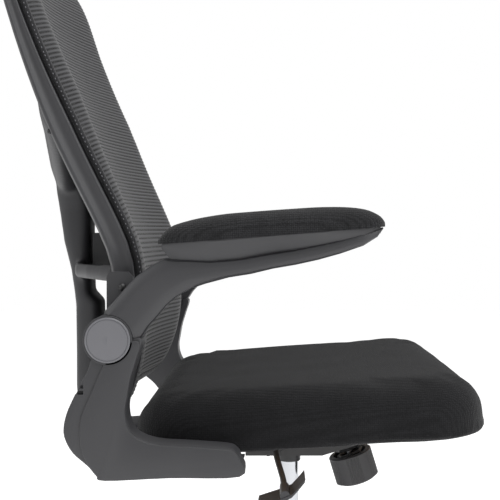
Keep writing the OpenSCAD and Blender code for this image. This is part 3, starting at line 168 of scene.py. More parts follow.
dark_plastic = moulded("dark_grey_plastic", (0.027, 0.027, 0.030), (0.039, 0.039, 0.042), 0.46,
                       depth=0.00012)
dress(dark_plastic, "ear_plate_right", "ear_plate_left", "lever_rod", "lever_paddle",
      "tension_knob", *[f"caster_{i}_housing" for i in range(1, 6)])
black_plastic = moulded("black_plastic", (0.012, 0.012, 0.013), (0.018, 0.018, 0.019), 0.42)
dress(black_plastic, "lumbar_support", "guide_bush", "tilt_bushes", "base_star",
      *[f"caster_{i}_wheel_{k}" for i in range(1, 6) for k in "ab"])
disc_plastic = moulded("disc_plastic", (0.12, 0.12, 0.13), (0.145, 0.145, 0.157), 0.45)
dress(disc_plastic, "pivot_caps")
black_steel = moulded("powder_coated_steel", (0.012, 0.012, 0.013), (0.02, 0.02, 0.021), 0.4, 500)
dress(black_steel, "lift_column", "rod_clip", "mechanism_housing", "lever_crank", "seat_plate",
      "tension_spring", "m6_bolts", "pivot_bolts")

# Bare metal and plywood in view under the seat: the gas spring's chrome, zinc-plated pins, and
# the board's raw edge with its glued layers.
def plated(name, colour, smooth, rough):
    """Plated steel with faint cloudy patches between two roughness values."""
    material, shader = finish(name, colour, smooth, 1.0)
    tree = material.node_tree
    cloud = tree.nodes.new("ShaderNodeGroup")
    cloud.node_tree = grain
    patch = tree.nodes.new("ShaderNodeMapRange")
    patch.inputs["From Min"].default_value = 0.3
    patch.inputs["From Max"].default_value = 0.7
    patch.inputs["To Min"].default_value = smooth
    patch.inputs["To Max"].default_value = rough
    tree.links.new(cloud.outputs["Tone"], patch.inputs["Value"])
    tree.links.new(patch.outputs["Result"], shader.inputs["Roughness"])
    return material


polished = plated("polished_chrome", (0.47, 0.48, 0.50), 0.06, 0.16)
dress(polished, "lift_cylinder")
zinc = plated("zinc_plated_steel", (0.6, 0.61, 0.63), 0.24, 0.42)
dress(zinc, "caster_stems", "thrust_bearing", "piston_rod", "release_button", "tilt_shaft", "tension_bolt",
      *[f"caster_{i}_axle" for i in range(1, 6)])
wood, shader = finish("plywood", (0.30, 0.19, 0.11), 0.7)
tree = wood.node_tree
place = tree.nodes.new("ShaderNodeTexCoord")
layers = tree.nodes.new("ShaderNodeTexWave")
layers.bands_direction = "Z"
layers.inputs["Scale"].default_value = 110
layers.inputs["Distortion"].default_value = 1.5
stain = tree.nodes.new("ShaderNodeMix")
stain.data_type = "RGBA"
stain.inputs["A"].default_value = (0.30, 0.19, 0.11, 1)
stain.inputs["B"].default_value = (0.52, 0.38, 0.25, 1)
tree.links.new(place.outputs["Object"], layers.inputs["Vector"])
tree.links.new(layers.outputs["Fac"], stain.inputs["Factor"])
tree.links.new(stain.outputs["Result"], shader.inputs["Base Color"])
dress(wood, "seat_board")


# Seat cushion: moulded foam over the plywood board, covered in black air-mesh cloth that is
# pulled tight round the edges and stapled underneath. The foam swells a little in the cloth.
seat_slope = math.radians(3.8)
seat_place = Matrix.Translation((0, 0, 0.411)) @ Matrix.Rotation(-seat_slope, 4, "X")


def piece(name, bm, body, material):
    """Turns a bmesh into an object that rides on a body and takes its finish from a slot."""
    mesh = bpy.data.meshes.new(name)
    bmesh.ops.recalc_face_normals(bm, faces=bm.faces)
    for face in bm.faces:
        face.smooth = True
    bm.to_mesh(mesh)
    bm.free()
    obj = bpy.data.objects.new(name, mesh)
    bpy.context.scene.collection.objects.link(obj)
    mesh.materials.append(material)
    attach(obj, body)
    return obj


def applied(obj):
    """Replaces an object's mesh with what its modifiers make of it."""
    shown = bpy.context.evaluated_depsgraph_get()
    mesh = bpy.data.meshes.new_from_object(obj.evaluated_get(shown))
    obj.modifiers.clear()
    obj.data = mesh


def maths(tree, operation, *values):
    """A maths node whose values are numbers or sockets."""
    node = tree.nodes.new("ShaderNodeMath")
    node.operation = operation
    for value, socket in zip(values, node.inputs):
        if isinstance(value, (int, float)):
            socket.default_value = value
        else:
            tree.links.new(value, socket)
    return node.outputs[0]


weave, given, result = group("open_weave", [("Pitch", 0.0023)],
                             [("Height", "NodeSocketFloat"), ("Tone", "NodeSocketFloat")])
place = weave.nodes.new("ShaderNodeTexCoord")
knots = weave.nodes.new("ShaderNodeTexVoronoi")
knots.inputs["Randomness"].default_value = 0.3
weave.links.new(place.outputs["Object"], knots.inputs["Vector"])
weave.links.new(maths(weave, "DIVIDE", 1, given.outputs["Pitch"]), knots.inputs["Scale"])
dome = weave.nodes.new("ShaderNodeMapRange")
dome.inputs["From Min"].default_value = 0.15
dome.inputs["From Max"].default_value = 0.75
dome.inputs["To Min"].default_value = 1
dome.inputs["To Max"].default_value = 0
weave.links.new(knots.outputs["Distance"], dome.inputs["Value"])
fuzz = weave.nodes.new("ShaderNodeTexNoise")
fuzz.inputs["Scale"].default_value = 30
fuzz.inputs["Detail"].default_value = 6
weave.links.new(place.outputs["Object"], fuzz.inputs["Vector"])
weave.links.new(dome.outputs["Result"], result.inputs["Height"])
# Tone is highest on the raised knots and lowest in the hollows between them, which is painted shade, mottled
# by random fuzz.
weave.links.new(maths(weave, "MULTIPLY", dome.outputs["Result"], fuzz.outputs["Fac"]), result.inputs["Tone"])


def woven(name, dark, light, pitch, depth, sheen=0.25):
    """Cloth with raised threads at a pitch in metres, paler on the threads and darker between them, where
    shade is painted into the colour.
    """
    material, shader = finish(name, dark, 0.9)
    shader.inputs["Sheen Weight"].default_value = sheen
    shader.inputs["Sheen Roughness"].default_value = 0.5
    shader.inputs["Specular IOR Level"].default_value = 0.2
    tree = material.node_tree
    threads = tree.nodes.new("ShaderNodeGroup")
    threads.node_tree = weave
    threads.inputs["Pitch"].default_value = pitch
    shade = tree.nodes.new("ShaderNodeMix")
    shade.data_type = "RGBA"
    shade.inputs["A"].default_value = (*dark, 1)
    shade.inputs["B"].default_value = (*light, 1)
    bump = tree.nodes.new("ShaderNodeBump")
    bump.inputs["Strength"].default_value = 0.8
    bump.inputs["Distance"].default_value = depth
    tree.links.new(threads.outputs["Tone"], shade.inputs["Factor"])
    tree.links.new(shade.outputs["Result"], shader.inputs["Base Color"])
    tree.links.new(threads.outputs["Height"], bump.inputs["Height"])
    tree.links.new(bump.outputs["Normal"], shader.inputs["Normal"])
    return material


seat_cloth = woven("seat_air_mesh", (0.004, 0.004, 0.0045), (0.020, 0.020, 0.022), 0.0024, 0.0006,
                   sheen=0.08)
cushion_wide, cushion_deep, cushion_middle = 0.486, 0.445, -0.0235
cushion_low, cushion_high = -0.002, 0.065
corner_round, top_round, foot_round = 0.075, 0.042, 0.013
bm = bmesh.new()
bmesh.ops.create_cube(bm, size=1)
bmesh.ops.scale(bm, vec=(cushion_wide, cushion_deep, cushion_high - cushion_low), verts=bm.verts)
bmesh.ops.translate(bm, vec=(0, cushion_middle, (cushion_low + cushion_high) / 2), verts=bm.verts)
upright = [e for e in bm.edges if abs(e.verts[0].co.z - e.verts[1].co.z) > 0.01]
bmesh.ops.bevel(bm, geom=upright, affect="EDGES", offset=corner_round, segments=8, profile=0.5,
                material=-1)
for height, round_by in ((cushion_high, top_round), (cushion_low, foot_round)):
    rim = [e for e in bm.edges
           if all(abs(v.co.z - height) < 0.0005 for v in e.verts) and len(e.link_faces) == 2]
    bmesh.ops.bevel(bm, geom=rim, affect="EDGES", offset=round_by, segments=6, profile=0.5, material=-1)
bmesh.ops.triangulate(bm, faces=[f for f in bm.faces if len(f.verts) > 4])
cover_half_wide, cover_half_deep, cover_middle = cushion_wide / 2, 0.224, -0.024
for v in bm.verts:
    back = max(0, (v.co.y - cover_middle) / cover_half_deep)
    v.co.x *= 1 - 0.04 * back
bmesh.ops.transform(bm, matrix=seat_place, verts=bm.verts)
cushion = piece("seat_cushion_cloth", bm, "seat", seat_cloth)
remesh = cushion.modifiers.new("remesh", "REMESH")
remesh.mode = "VOXEL"
remesh.voxel_size = 0.006
remesh.use_smooth_shade = True
applied(cushion)
unplace = seat_place.inverted()


def swell(obj, pressure, reach, held):
    """Blows the cloth of a cushion up for 20 frames, and lets no point move further than reach."""
    start = [v.co.copy() for v in obj.data.vertices]
    pinned = obj.vertex_groups.new(name="held")
    pinned.add([v.index for v in obj.data.vertices if held(v.co)], 1, "REPLACE")
    cloth = obj.modifiers.new("cloth", "CLOTH")
    cloth.settings.quality = 5
    cloth.settings.mass = 0.3
    cloth.settings.tension_stiffness = 15
    cloth.settings.compression_stiffness = 15
    cloth.settings.shear_stiffness = 5
    cloth.settings.bending_stiffness = 0.5
    cloth.settings.use_pressure = True
    cloth.settings.uniform_pressure_force = pressure
    cloth.settings.vertex_group_mass = "held"
    cloth.settings.effector_weights.gravity = 0
    cloth.point_cache.frame_end = 20
    for step in range(1, 21):
        bpy.context.scene.frame_set(step)
    applied(obj)
    bpy.context.scene.frame_set(1)
    for v, was in zip(obj.data.vertices, start):
        moved = v.co - was
        if moved.length > reach:
            v.co = was + moved.normalized() * reach


swell(cushion, pressure=4, reach=0.004, held=lambda p: (unplace @ p).z < 0.004)
# The foam gives the cover a crown, a shallow dish where one sits, a flat underside and a few waves
crown_tall, dish_deep, dish_reach, dish_middle = 0.003, 0.006, 0.2, 0.04
under_face, wave_tall = 0.0126, 0.0012
for v in cushion.data.vertices:
    p = unplace @ v.co
    edge = ((p.x / cover_half_wide) ** 6 + ((p.y - cover_middle) / cover_half_deep) ** 6) ** (1 / 6)
    if p.z > 0.045:
        dish_across = max(0, 1 - (p.x / dish_reach) ** 2)
        dish_along = max(0, 1 - ((p.y - dish_middle) / dish_reach) ** 2)
        p.z += crown_tall * max(0, 1 - edge ** 2) - dish_deep * dish_across * dish_along
    if p.z < 0.02 and edge < 0.935:
        p.z = under_face
    v.co = seat_place @ p + Vector((0, 0, wave_tall * noise.noise(v.co * 14)))
relief = cushion.modifiers.new("round", "SUBSURF")
relief.levels = relief.render_levels = 1
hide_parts("seat_cushion")

# Arm pads: soft foam under speckled black cloth, tucked in over the tray of each arm. The top
# is crowned, the nose is blunt and the tail thins to a wedge over the pivot.
pad_cloth = woven("pad_cloth", (0.004, 0.004, 0.0045), (0.038, 0.038, 0.041), 0.0021, 0.0007, sheen=0.1)
arm_across = 0.277
pad_middle, pad_half_length, pad_half_width, pad_tip = 0.0255, 0.1288, 0.0338, 0.1292
pad_foot, pad_slope, tip_lift, tuck = 0.6682, 0.0768, 0.0035, 0.0018


def curve(points, at):
    """Height at a place along points of (place, height), straight from one to the next."""
    for (a, low), (b, high) in zip(points, points[1:]):
        if at <= b:
            t = max(0, (at - a) / (b - a))
            return low + (high - low) * t
    return points[-1][1]


# Height of the pad's top over its foot, at places along it
pad_crown = [(-0.129, 0.004), (-0.1255, 0.010), (-0.1135, 0.018), (-0.098, 0.0228), (-0.0755, 0.0256),
             (-0.0525, 0.027), (-0.0015, 0.0275), (0.0535, 0.0275), (0.0865, 0.0245), (0.112, 0.019),
             (0.122, 0.013), (0.128, 0.004)]


def arm_pad(side, name, node, body):
    """The pad over one arm: side is -1 on the sitter's right and 1 on the left."""
    bm = bmesh.new()
    bmesh.ops.create_cube(bm, size=2)
    bmesh.ops.subdivide_edges(bm, edges=bm.edges, cuts=23, use_grid_fill=True)
    for v in bm.verts:
        a, b, c = v.co
        along = pad_half_length * math.sin(b * math.pi / 2)
        half = pad_half_width * max(0.02, 1 - abs(along / pad_tip) ** 3.4) ** (1 / 2.8)
        across = math.sin(a * math.pi / 2)
        full = max(0.0, 1 - abs(across) ** 2.6) ** (1 / 2.4)
        tall = curve(pad_crown, along)
        end = max(0, abs(along) / pad_half_length - 0.7)
        foot = pad_foot - along * pad_slope + tip_lift * end ** 2
        up = foot + (c + 1) / 2 * tall * full - (tuck * (1 - full) if c < 0 else 0)
        v.co = (side * arm_across + across * half, pad_middle + along, up)
    bmesh.ops.remove_doubles(bm, verts=bm.verts, dist=0.00005)
    pad = piece(name, bm, body, pad_cloth)
    soften = pad.modifiers.new("round", "SUBSURF")
    soften.levels = soften.render_levels = 1
    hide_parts(node)


arm_pad(-1, "arm_pad_cloth_right", "arm_pad_right", "arm_right")
arm_pad(1, "arm_pad_cloth_left", "arm_pad_left", "arm_left")


# Arms: one moulded beam each, from a knuckle on the pivot up to a tray that carries the pad.
# The tray flares out under the pad, and its side is set back from the beam's outer face.
def ring_through(bm, points):
    """A closed ring of vertices through points."""
    verts = bmesh.ops.create_circle(bm, cap_ends=False, segments=len(points), radius=1)["verts"]
    for v, p in zip(verts, points):
        v.co = p
    return verts


def bridge(bm, low, high):
    """Joins two rings with a band of faces."""
    sides = [e for v in low + high for e in v.link_edges
             if set(e.verts) <= set(low) or set(e.verts) <= set(high)]
    bmesh.ops.bridge_loops(bm, edges=list(dict.fromkeys(sides)))


def loft(bm, rings):
    """Joins rings of points, one after the other, into a closed skin."""
    made = [ring_through(bm, ring) for ring in rings]
    for low, high in zip(made, made[1:]):
        bridge(bm, low, high)
    for verts in (made[0], made[-1]):
        bmesh.ops.contextual_create(bm, geom=verts)


def round_ring(middle, across, up, half, tall, power):
    """Ring of a rounded box section: half and tall are its half sizes, squarer as power grows."""
    count, ring = 24, []
    for i in range(count):
        c, s = math.cos(2 * math.pi * (i + 0.5) / count), math.sin(2 * math.pi * (i + 0.5) / count)
        r = (abs(c) ** power + abs(s) ** power) ** (-1 / power)
        ring.append(middle + across * half * r * c + up * tall * r * s)
    return ring


def bar(bm, radius, x0, x1, y, z, segments=64):
    """A round bar along X, closed at both ends."""
    turn = Matrix.Translation(((x0 + x1) / 2, y, z)) @ Matrix.Rotation(math.radians(90), 4, "Y")
    bmesh.ops.create_cone(bm, cap_ends=True, segments=segments, radius1=radius, radius2=radius,
                          depth=abs(x1 - x0), matrix=turn)


def cut(obj, bm):
    """Cuts the closed shape of a bmesh away from an object."""
    mesh = bpy.data.meshes.new("tool")
    bmesh.ops.recalc_face_normals(bm, faces=bm.faces)
    bm.to_mesh(mesh)
    bm.free()
    tool = bpy.data.objects.new("tool", mesh)
    bpy.context.scene.collection.objects.link(tool)
    cutter = obj.modifiers.new("cut", "BOOLEAN")
    cutter.object = tool
    cutter.operation = "DIFFERENCE"
    cutter.solver = "EXACT"
    applied(obj)
    bpy.data.objects.remove(tool)


def soften_edges(obj, width):
    """Rounds the sharp edges of a moulding."""
    edge = obj.modifiers.new("edge", "BEVEL")
    edge.width = width
    edge.segments = 2
    edge.limit_method = "ANGLE"
    edge.angle_limit = math.radians(38)
    edge.harden_normals = True


pivot_y, pivot_z = 0.210, 0.549
knuckle, knuckle_room = 0.0280, 0.0005
knuckle_in, arm_knuckle_out, bracket_knuckle_in = 0.260, 0.27525, 0.27575
# Lower edge, upper edge and half width of the beam at each station, in millimetres
beam_stations = [
    (203.7, 533, 219.5, 551.6, 17), (172, 553, 215, 581, 17), (165, 564, 204, 592.5, 17),
    (154, 576, 192, 607, 17), (143, 589, 179, 620.5, 17), (132, 598, 164, 631.5, 17),
    (115, 607, 147, 641, 17), (100, 612, 126, 641, 17), (74, 619, 96, 638.5, 17),
    (49, 623, 64, 641, 17.3), (24, 629, 32, 646.5, 18), (-2, 633.5, 3, 651, 19),
    (-27, 639, -24, 656.5, 21), (-52, 646, -49, 662, 23), (-78, 655, -74, 669, 23.5),
    (-94, 665, -92, 673, 19), (-101, 674, -101, 676, 10),
]
# Height of the tray's foot and rim along the arm, in millimetres
tray_foot = [(-98, 674.4), (-85, 670), (-60, 663.5), (-35, 657.5), (-14, 653.5), (24, 647), (62, 641),
             (100, 637.5), (112, 637.4), (127, 638.5), (135, 641.5), (141, 645.5), (146, 651), (150, 656.8)]
tray_rim = [(-98, 676.2), (-60, 674), (-14, 671), (24, 668), (74, 663.6), (112, 660.4), (150, 657.2)]
tray_rear, tray_long, tray_rings, rim_thick = 150, 248, 24, 2
tray_middle, tray_half_long, tray_half_wide = 25.5, 127, 29.5


def arm(side, name, node, body):
    """The moulded arm: side is -1 on the sitter's right and 1 on the left."""
    bm = bmesh.new()
    rings = []
    for low_y, low_z, high_y, high_z, half in beam_stations:
        low, high = Vector((0, low_y, low_z)) / 1000, Vector((0, high_y, high_z)) / 1000
        middle = (low + high) / 2 + Vector((side * arm_across, 0, 0))
        up = (high - low).normalized()
        rings.append(round_ring(middle, Vector((side, 0, 0)), up, half / 1000, (high - low).length / 2,
                                power=4.5))
    loft(bm, rings)
    rings = []
    for i in range(tray_rings + 1):
        y = tray_rear - tray_long * i / tray_rings
        foot, rim = curve(tray_foot, y), curve(tray_rim, y)
        wide = tray_half_wide * max(0.05, 1 - abs((y - tray_middle) / tray_half_long) ** 3.2) ** (1 / 2.6)
        near = min(wide, 13 + 9 * max(0, min(1, (20 - y) / 80)))
        flare = (near + (wide - near) * 0.32, rim - rim_thick - (rim - foot) * 0.55)
        side_line = [(wide, rim), (wide, rim - rim_thick), flare, (near, foot), (near * 0.9, foot - 5)]
        points = side_line + [(-x, z) for x, z in reversed(side_line)]
        rings.append([Vector((side * arm_across * 1000 + x, y, z)) / 1000 for x, z in points])
    loft(bm, rings)
    obj = piece(name, bm, body, dark_plastic)
    bm = bmesh.new()
    bar(bm, knuckle + knuckle_room, side * arm_knuckle_out, side * 0.300, pivot_y, pivot_z)
    cut(obj, bm)
    bm = bmesh.new()
    bm.from_mesh(obj.data)
    bar(bm, knuckle, side * knuckle_in, side * arm_knuckle_out, pivot_y, pivot_z)
    bm.to_mesh(obj.data)
    bm.free()
    soften_edges(obj, 0.0008)
    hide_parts(node)


arm(-1, "arm_right_moulding", "arm_body_right", "arm_right")
arm(1, "arm_left_moulding", "arm_body_left", "arm_left")

# Arm brackets: L-shaped mouldings from the pivot knuckle down and forward under the seat. The
# outer face stands up from the body, and leaves a band along the rear with two small slots in it.
# Both outlines have points (behind the axis, height) in millimetres.
bracket_line = [
    (172, 550), (178, 526), (184, 506), (188, 484), (190, 470), (188, 455), (181, 442), (168, 435),
    (150, 431), (114, 429), (76, 426), (66, 422), (61, 414), (61, 394.5), (141, 393), (213.5, 390),
    (223, 394.5), (233, 406), (250, 421), (259, 437), (260.5, 450), (257, 466), (250, 482), (241, 500),
    (233, 515), (228, 528), (214, 546), (190, 550),
]
face_line = [
    (174, 546), (178.5, 526), (184.5, 506), (188.5, 484), (190.5, 470), (188.5, 454.5), (181.3, 441.5),
    (168.2, 434.5), (150, 430.5), (114, 428.5), (76, 425.5), (66.4, 421.6), (61.5, 414), (61.5, 395),
    (141, 393.5), (213.5, 390.5), (223, 397), (233, 410), (240, 426), (242, 448), (239, 466), (228, 491),
    (217, 516.5), (208, 530), (190, 546),
]
slot_heights = ((494.2, 498.6), (487.4, 491.8))
hook_line = [(56.5, 411), (78, 410), (78, 391), (64, 388.5), (60.5, 398)]
bracket_in, bracket_body, bracket_face = 0.260, 0.2912, 0.294
# The flat foot under the seat: its size, and its middle outward, behind and below the board's face
foot_size, foot_across, foot_behind, foot_below = (0.127, 0.133, 0.0057), 0.2125, 0.1385, 0.00315


def slab(bm, outline, x0, x1):
    """A flat plate from x0 to x1, and the verts of its far face. The outline is in millimetres."""
    verts = [bm.verts.new((x0, y / 1000, z / 1000)) for y, z in outline]
    face = bm.faces.new(verts)
    raised = bmesh.ops.extrude_face_region(bm, geom=[face])["geom"]
    moved = [v for v in raised if isinstance(v, bmesh.types.BMVert)]
    bmesh.ops.translate(bm, vec=(x1 - x0, 0, 0), verts=moved)
    return moved


def eased(outline):
    """A closed outline with rounded runs between its points."""
    steps, count, line = 4, len(outline), []
    for i in range(count):
        a, b, c, d = (Vector(outline[(i + k - 1) % count]) for k in range(4))
        for n in range(steps):
            t = n / steps
            line.append(tuple(b + t * (c - a) / 2 + t * t * (a - 2.5 * b + 2 * c - d / 2)
                              + t ** 3 * (-a + 3 * b - 3 * c + d) / 2))
    return line


def rim_bevel(bm, verts, width):
    """Rounds the rim that runs through one face's verts."""
    inside = set(verts)
    edges = [e for e in bm.edges if e.verts[0] in inside and e.verts[1] in inside]
    bmesh.ops.bevel(bm, geom=edges, affect="EDGES", offset=width, segments=3, profile=0.5, material=-1)


def bracket(side, name, node):
    """The bracket under one arm: side is -1 on the sitter's right and 1 on the left."""
    bm = bmesh.new()
    rim_bevel(bm, slab(bm, eased(bracket_line), side * bracket_in, side * bracket_body), 0.0022)
    obj = piece(name, bm, "seat", dark_plastic)
    bm = bmesh.new()
    bar(bm, knuckle + knuckle_room, side * 0.250, side * bracket_knuckle_in, pivot_y, pivot_z)
    cut(obj, bm)
    for low, high in slot_heights:
        bm = bmesh.new()
        slab(bm, [(238, low), (262, low), (262, high), (238, high)], side * 0.2835, side * 0.300)
        cut(obj, bm)
    bm = bmesh.new()
    bm.from_mesh(obj.data)
    rim_bevel(bm, slab(bm, eased(face_line), side * 0.2905, side * bracket_face), 0.0014)
    bar(bm, knuckle, side * bracket_knuckle_in, side * bracket_face, pivot_y, pivot_z)
    slab(bm, hook_line, side * 0.252, side * 0.2605)
    bmesh.ops.recalc_face_normals(bm, faces=bm.faces)
    foot = bmesh.ops.create_cube(bm, size=1)["verts"]
    bmesh.ops.scale(bm, vec=foot_size, verts=foot)
    bmesh.ops.translate(bm, vec=(side * foot_across, foot_behind, -foot_below), verts=foot)
    bmesh.ops.transform(bm, matrix=seat_place, verts=foot)
    for face in bm.faces:
        face.smooth = True
    bm.to_mesh(obj.data)
    bm.free()
    soften_edges(obj, 0.0007)
    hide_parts(node)


bracket(-1, "arm_bracket_right_moulding", "arm_bracket_right")
bracket(1, "arm_bracket_left_moulding", "arm_bracket_left")


# Back frame: one moulded loop, deep where it stands upright by the arms and thinner at the top.
# Its outer side is hollowed between a front rim and a rear rim, as the photograph shows.
back_half, low_z, high_z = 0.222, 0.450, 1.095
middle_z, half_height, corner_power = (low_z + high_z) / 2, (high_z - low_z) / 2, 7
upright_y, bend_length, back_bow = 0.1995, 0.030, 0.035
lean_from, lean_slope = 0.640, 0.53
ease_from, ease_curve = 0.720, 0.444
kick_from, kick_slope = 0.530, 0.245


def bend(distance, length):
    """Zero before a bend and a straight rise after it, rounded over a length."""
    return (distance + math.hypot(distance, length)) / 2


def rail_line(z):
    """How far the rails lie behind the lift axis."""
    lean = lean_slope * bend(z - lean_from, bend_length) - ease_curve * max(0, z - ease_from) ** 2
    return upright_y + lean + kick_slope * bend(kick_from - z, bend_length)


def rail_lean(z):
    """Angle by which the rails lean back."""
    return math.atan((rail_line(z + 0.001) - rail_line(z - 0.001)) / 0.002)


def back_line(x, z):
    """How far the back's surface lies behind the lift axis."""
    return rail_line(z) + back_bow * (1 - min(1, abs(x) / back_half) ** 2)


def rail_half(z):
    """Half of the rail's depth, which thins over a stretch as the rail rises."""
    deep, thin, thins_from, thins_over = 0.025, 0.0135, 0.800, 0.150
    return (deep - (deep - thin) * max(0, min(1, (z - thins_from) / thins_over))) / 2


def loop_point(angle, inset=0.0):
    """A point on the loop of the back, inset towards its middle."""
    c, s = math.cos(angle), math.sin(angle)
    r = (abs(c) ** corner_power + abs(s) ** corner_power) ** (-1 / corner_power)
    x, z = (back_half - inset) * r * c, middle_z + (half_height - inset) * r * s
    return Vector((x, back_line(x, z), z))


def loop_frame(angle):
    """A point on the loop, with the ways outward and forward from it."""
    step = math.radians(1)
    along = (loop_point(angle + step) - loop_point(angle - step)).normalized()
    here = loop_point(angle)
    out = here - loop_point(angle, 0.001)
    out = (out - along * out.dot(along)).normalized()
    return here, out, out.cross(along) if out.cross(along).y < 0 else along.cross(out)


def loop_angles(count):
    """Angles round the loop that crowd into its four corners."""
    turns = [2 * math.pi * i / count for i in range(count)]
    return [turn + math.radians(8) * math.sin(4 * turn) for turn in turns]


def ring_tube(bm, sections):
    """Joins rings into a tube that closes on itself."""
    made = [ring_through(bm, ring) for ring in sections]
    for low, high in zip(made, made[1:] + made[:1]):
        bridge(bm, low, high)


rail_half_width = 0.012
# Section of the rail: outward and forward shares of its half width and half depth
rail_section = [(-1, 0.4), (-0.92, 0.75), (-0.6, 1), (0.1, 1), (0.75, 1), (0.95, 0.93), (1, 0.75),
                (0.9, 0.55), (0.74, 0.3), (0.7, 0), (0.74, -0.3), (0.9, -0.6), (1, -0.8), (0.9, -0.97),
                (0.6, -1), (0, -1), (-0.6, -1), (-0.92, -0.8), (-1, -0.5), (-1, 0)]
bm = bmesh.new()
sections = []
for angle in loop_angles(132):
    here, out, ahead = loop_frame(angle)
    deep = rail_half(here.z)
    sections.append([here + out * (a * rail_half_width) + ahead * (b * deep) for a, b in rail_section])
ring_tube(bm, sections)
rails = piece("back_frame_moulding", bm, "seat", dark_plastic)
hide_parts("back_frame")

# Frame screws: black pan-head steel screws, two through each ear plate into the rail, and one on
# each side in the rail's rear face, where the branch of the support meets it.
ear_screw_y, ear_screw_heights, branch_screw_z = 0.2008, (0.5819, 0.6059), 0.797
bm = bmesh.new()
for side in (-1, 1):
    for z in ear_screw_heights:
        bar(bm, 0.0045, side * 0.2365, side * 0.2535, ear_screw_y, z, 24)
    rail_middle = Vector((side * back_half, rail_line(branch_screw_z), branch_screw_z))
    lean = rail_lean(branch_screw_z)
    behind = Vector((0, math.cos(lean), -math.sin(lean)))
    turn = behind.to_track_quat("Z", "Y").to_matrix().to_4x4()
    for depth, radius, tall in ((-0.004, 0.002, 0.014), (0.0006, 0.0040, 0.0024)):
        spot = rail_middle + behind * (rail_half(branch_screw_z) + depth)
        bmesh.ops.create_cone(bm, cap_ends=True, segments=24, radius1=radius, radius2=radius * 0.86,
                              depth=tall, matrix=Matrix.Translation(spot) @ turn)
screws = piece("frame_screw_heads", bm, "seat", black_steel)
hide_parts("frame_screws")

# Edge band: the mesh is sewn to a dark fabric band, which clips into the front of the frame with
# a narrow gap between them. Small stitches run along its outer side, spaced a little unevenly.
band_cloth = woven("band_cloth", (0.010, 0.010, 0.011), (0.05, 0.05, 0.054), 0.0016, 0.0005)
stitch_thread, shader = finish("stitch_thread", (0.14, 0.14, 0.15), 0.7)
# Section of the band: outward of the rail's middle and forward of its front, in millimetres
band_section = [(2.4, 3.8), (4.0, 4.6), (4.6, 6.4), (4.7, 8.6), (4.2, 10.4), (2.6, 11.5), (-2, 11.8),
                (-7, 11.4), (-9.4, 9.6), (-9.7, 5), (-9.7, 0.2), (-5, 0.1), (-1, 0.1), (-0.4, 2.0),
                (0.6, 3.4)]
bm = bmesh.new()
sections = []
for angle in loop_angles(132):
    here, out, ahead = loop_frame(angle)
    deep = rail_half(here.z)
    sections.append([here + out * (a / 1000) + ahead * (deep + b / 1000) for a, b in band_section])
ring_tube(bm, sections)
band = piece("mesh_band_cloth", bm, "seat", band_cloth)
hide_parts("mesh_edge_band")
stitch_pitch, stitch_drift = 0.0055, 0.0022
bm = bmesh.new()
angle, placed_at = 0.0, None
while angle < 2 * math.pi:
    here, out, ahead = loop_frame(angle)
    spot = here + out * 0.0048 + ahead * (rail_half(here.z) + 0.0072)
    reach = stitch_pitch + stitch_drift * noise.noise(spot * 90)
    if placed_at is None or (spot - placed_at).length > reach:
        placed_at = spot
        along = out.cross(ahead)
        turn = Matrix((ahead, along, out)).transposed().to_4x4()
        place_stitch = Matrix.Translation(spot) @ turn @ Matrix.Diagonal((1.0, 1.9, 0.7, 1))
        bmesh.ops.create_icosphere(bm, subdivisions=1, radius=0.0007, matrix=place_stitch)
    angle += math.radians(0.1)
piece("mesh_band_stitches", bm, "seat", stitch_thread)

# Back mesh: elastic cloth knitted in close ribs that run from side to side, stretched over the
# frame. It rolls forward over the band at both sides, and hangs back between them.
rib_pitch, yarn_pitch = 0.0057, 0.00095
rib, given, result = group("knitted_ribs", [("Pitch", rib_pitch)],
                           [("Open", "NodeSocketFloat"), ("Tone", "NodeSocketFloat")])
place = rib.nodes.new("ShaderNodeUVMap")
place.uv_map = "knit"
split = rib.nodes.new("ShaderNodeSeparateXYZ")
rib.links.new(place.outputs["UV"], split.inputs["Vector"])
rib_turns = maths(rib, "DIVIDE", split.outputs["Y"], given.outputs["Pitch"])
wave = maths(rib, "COSINE", maths(rib, "MULTIPLY", rib_turns, 2 * math.pi))
wave = maths(rib, "MULTIPLY_ADD", wave, 0.5, 0.5)
yarn_turns = maths(rib, "MULTIPLY", split.outputs["X"], math.pi / yarn_pitch)
yarn = maths(rib, "ABSOLUTE", maths(rib, "SINE", yarn_turns))
gap = maths(rib, "MULTIPLY", maths(rib, "LESS_THAN", wave, 0.12), maths(rib, "GREATER_THAN", yarn, 0.6))
rib.links.new(gap, result.inputs["Open"])
# Painted shade: the ribs' colour darkens into the grooves between them, over the yarn's own lighter and
# darker threads.
groove_shade = maths(rib, "POWER", wave, 1.6)
yarn_and_groove_shade = maths(rib, "MULTIPLY", groove_shade, maths(rib, "MULTIPLY_ADD", yarn, 0.35, 0.5))
rib.links.new(yarn_and_groove_shade, result.inputs["Tone"])

mesh_cloth, shader = finish("ribbed_mesh", (0.02, 0.02, 0.022), 0.75)
shader.inputs["Sheen Weight"].default_value = 0.2
shader.inputs["Specular IOR Level"].default_value = 0.3
tree = mesh_cloth.node_tree
knit = tree.nodes.new("ShaderNodeGroup")
knit.node_tree = rib
knit.inputs["Pitch"].default_value = rib_pitch
shade = tree.nodes.new("ShaderNodeMix")
shade.data_type = "RGBA"
# A is the colour in the shaded grooves and B the ribs' crests; the step between them is painted shade.
shade.inputs["A"].default_value = (0.003, 0.003, 0.0035, 1)
shade.inputs["B"].default_value = (0.080, 0.080, 0.085, 1)
tree.links.new(knit.outputs["Tone"], shade.inputs["Factor"])
tree.links.new(shade.outputs["Result"], shader.inputs["Base Color"])
see_through = maths(tree, "MULTIPLY", knit.outputs["Open"], 0.35)
tree.links.new(maths(tree, "SUBTRACT", 1, see_through), shader.inputs["Alpha"])

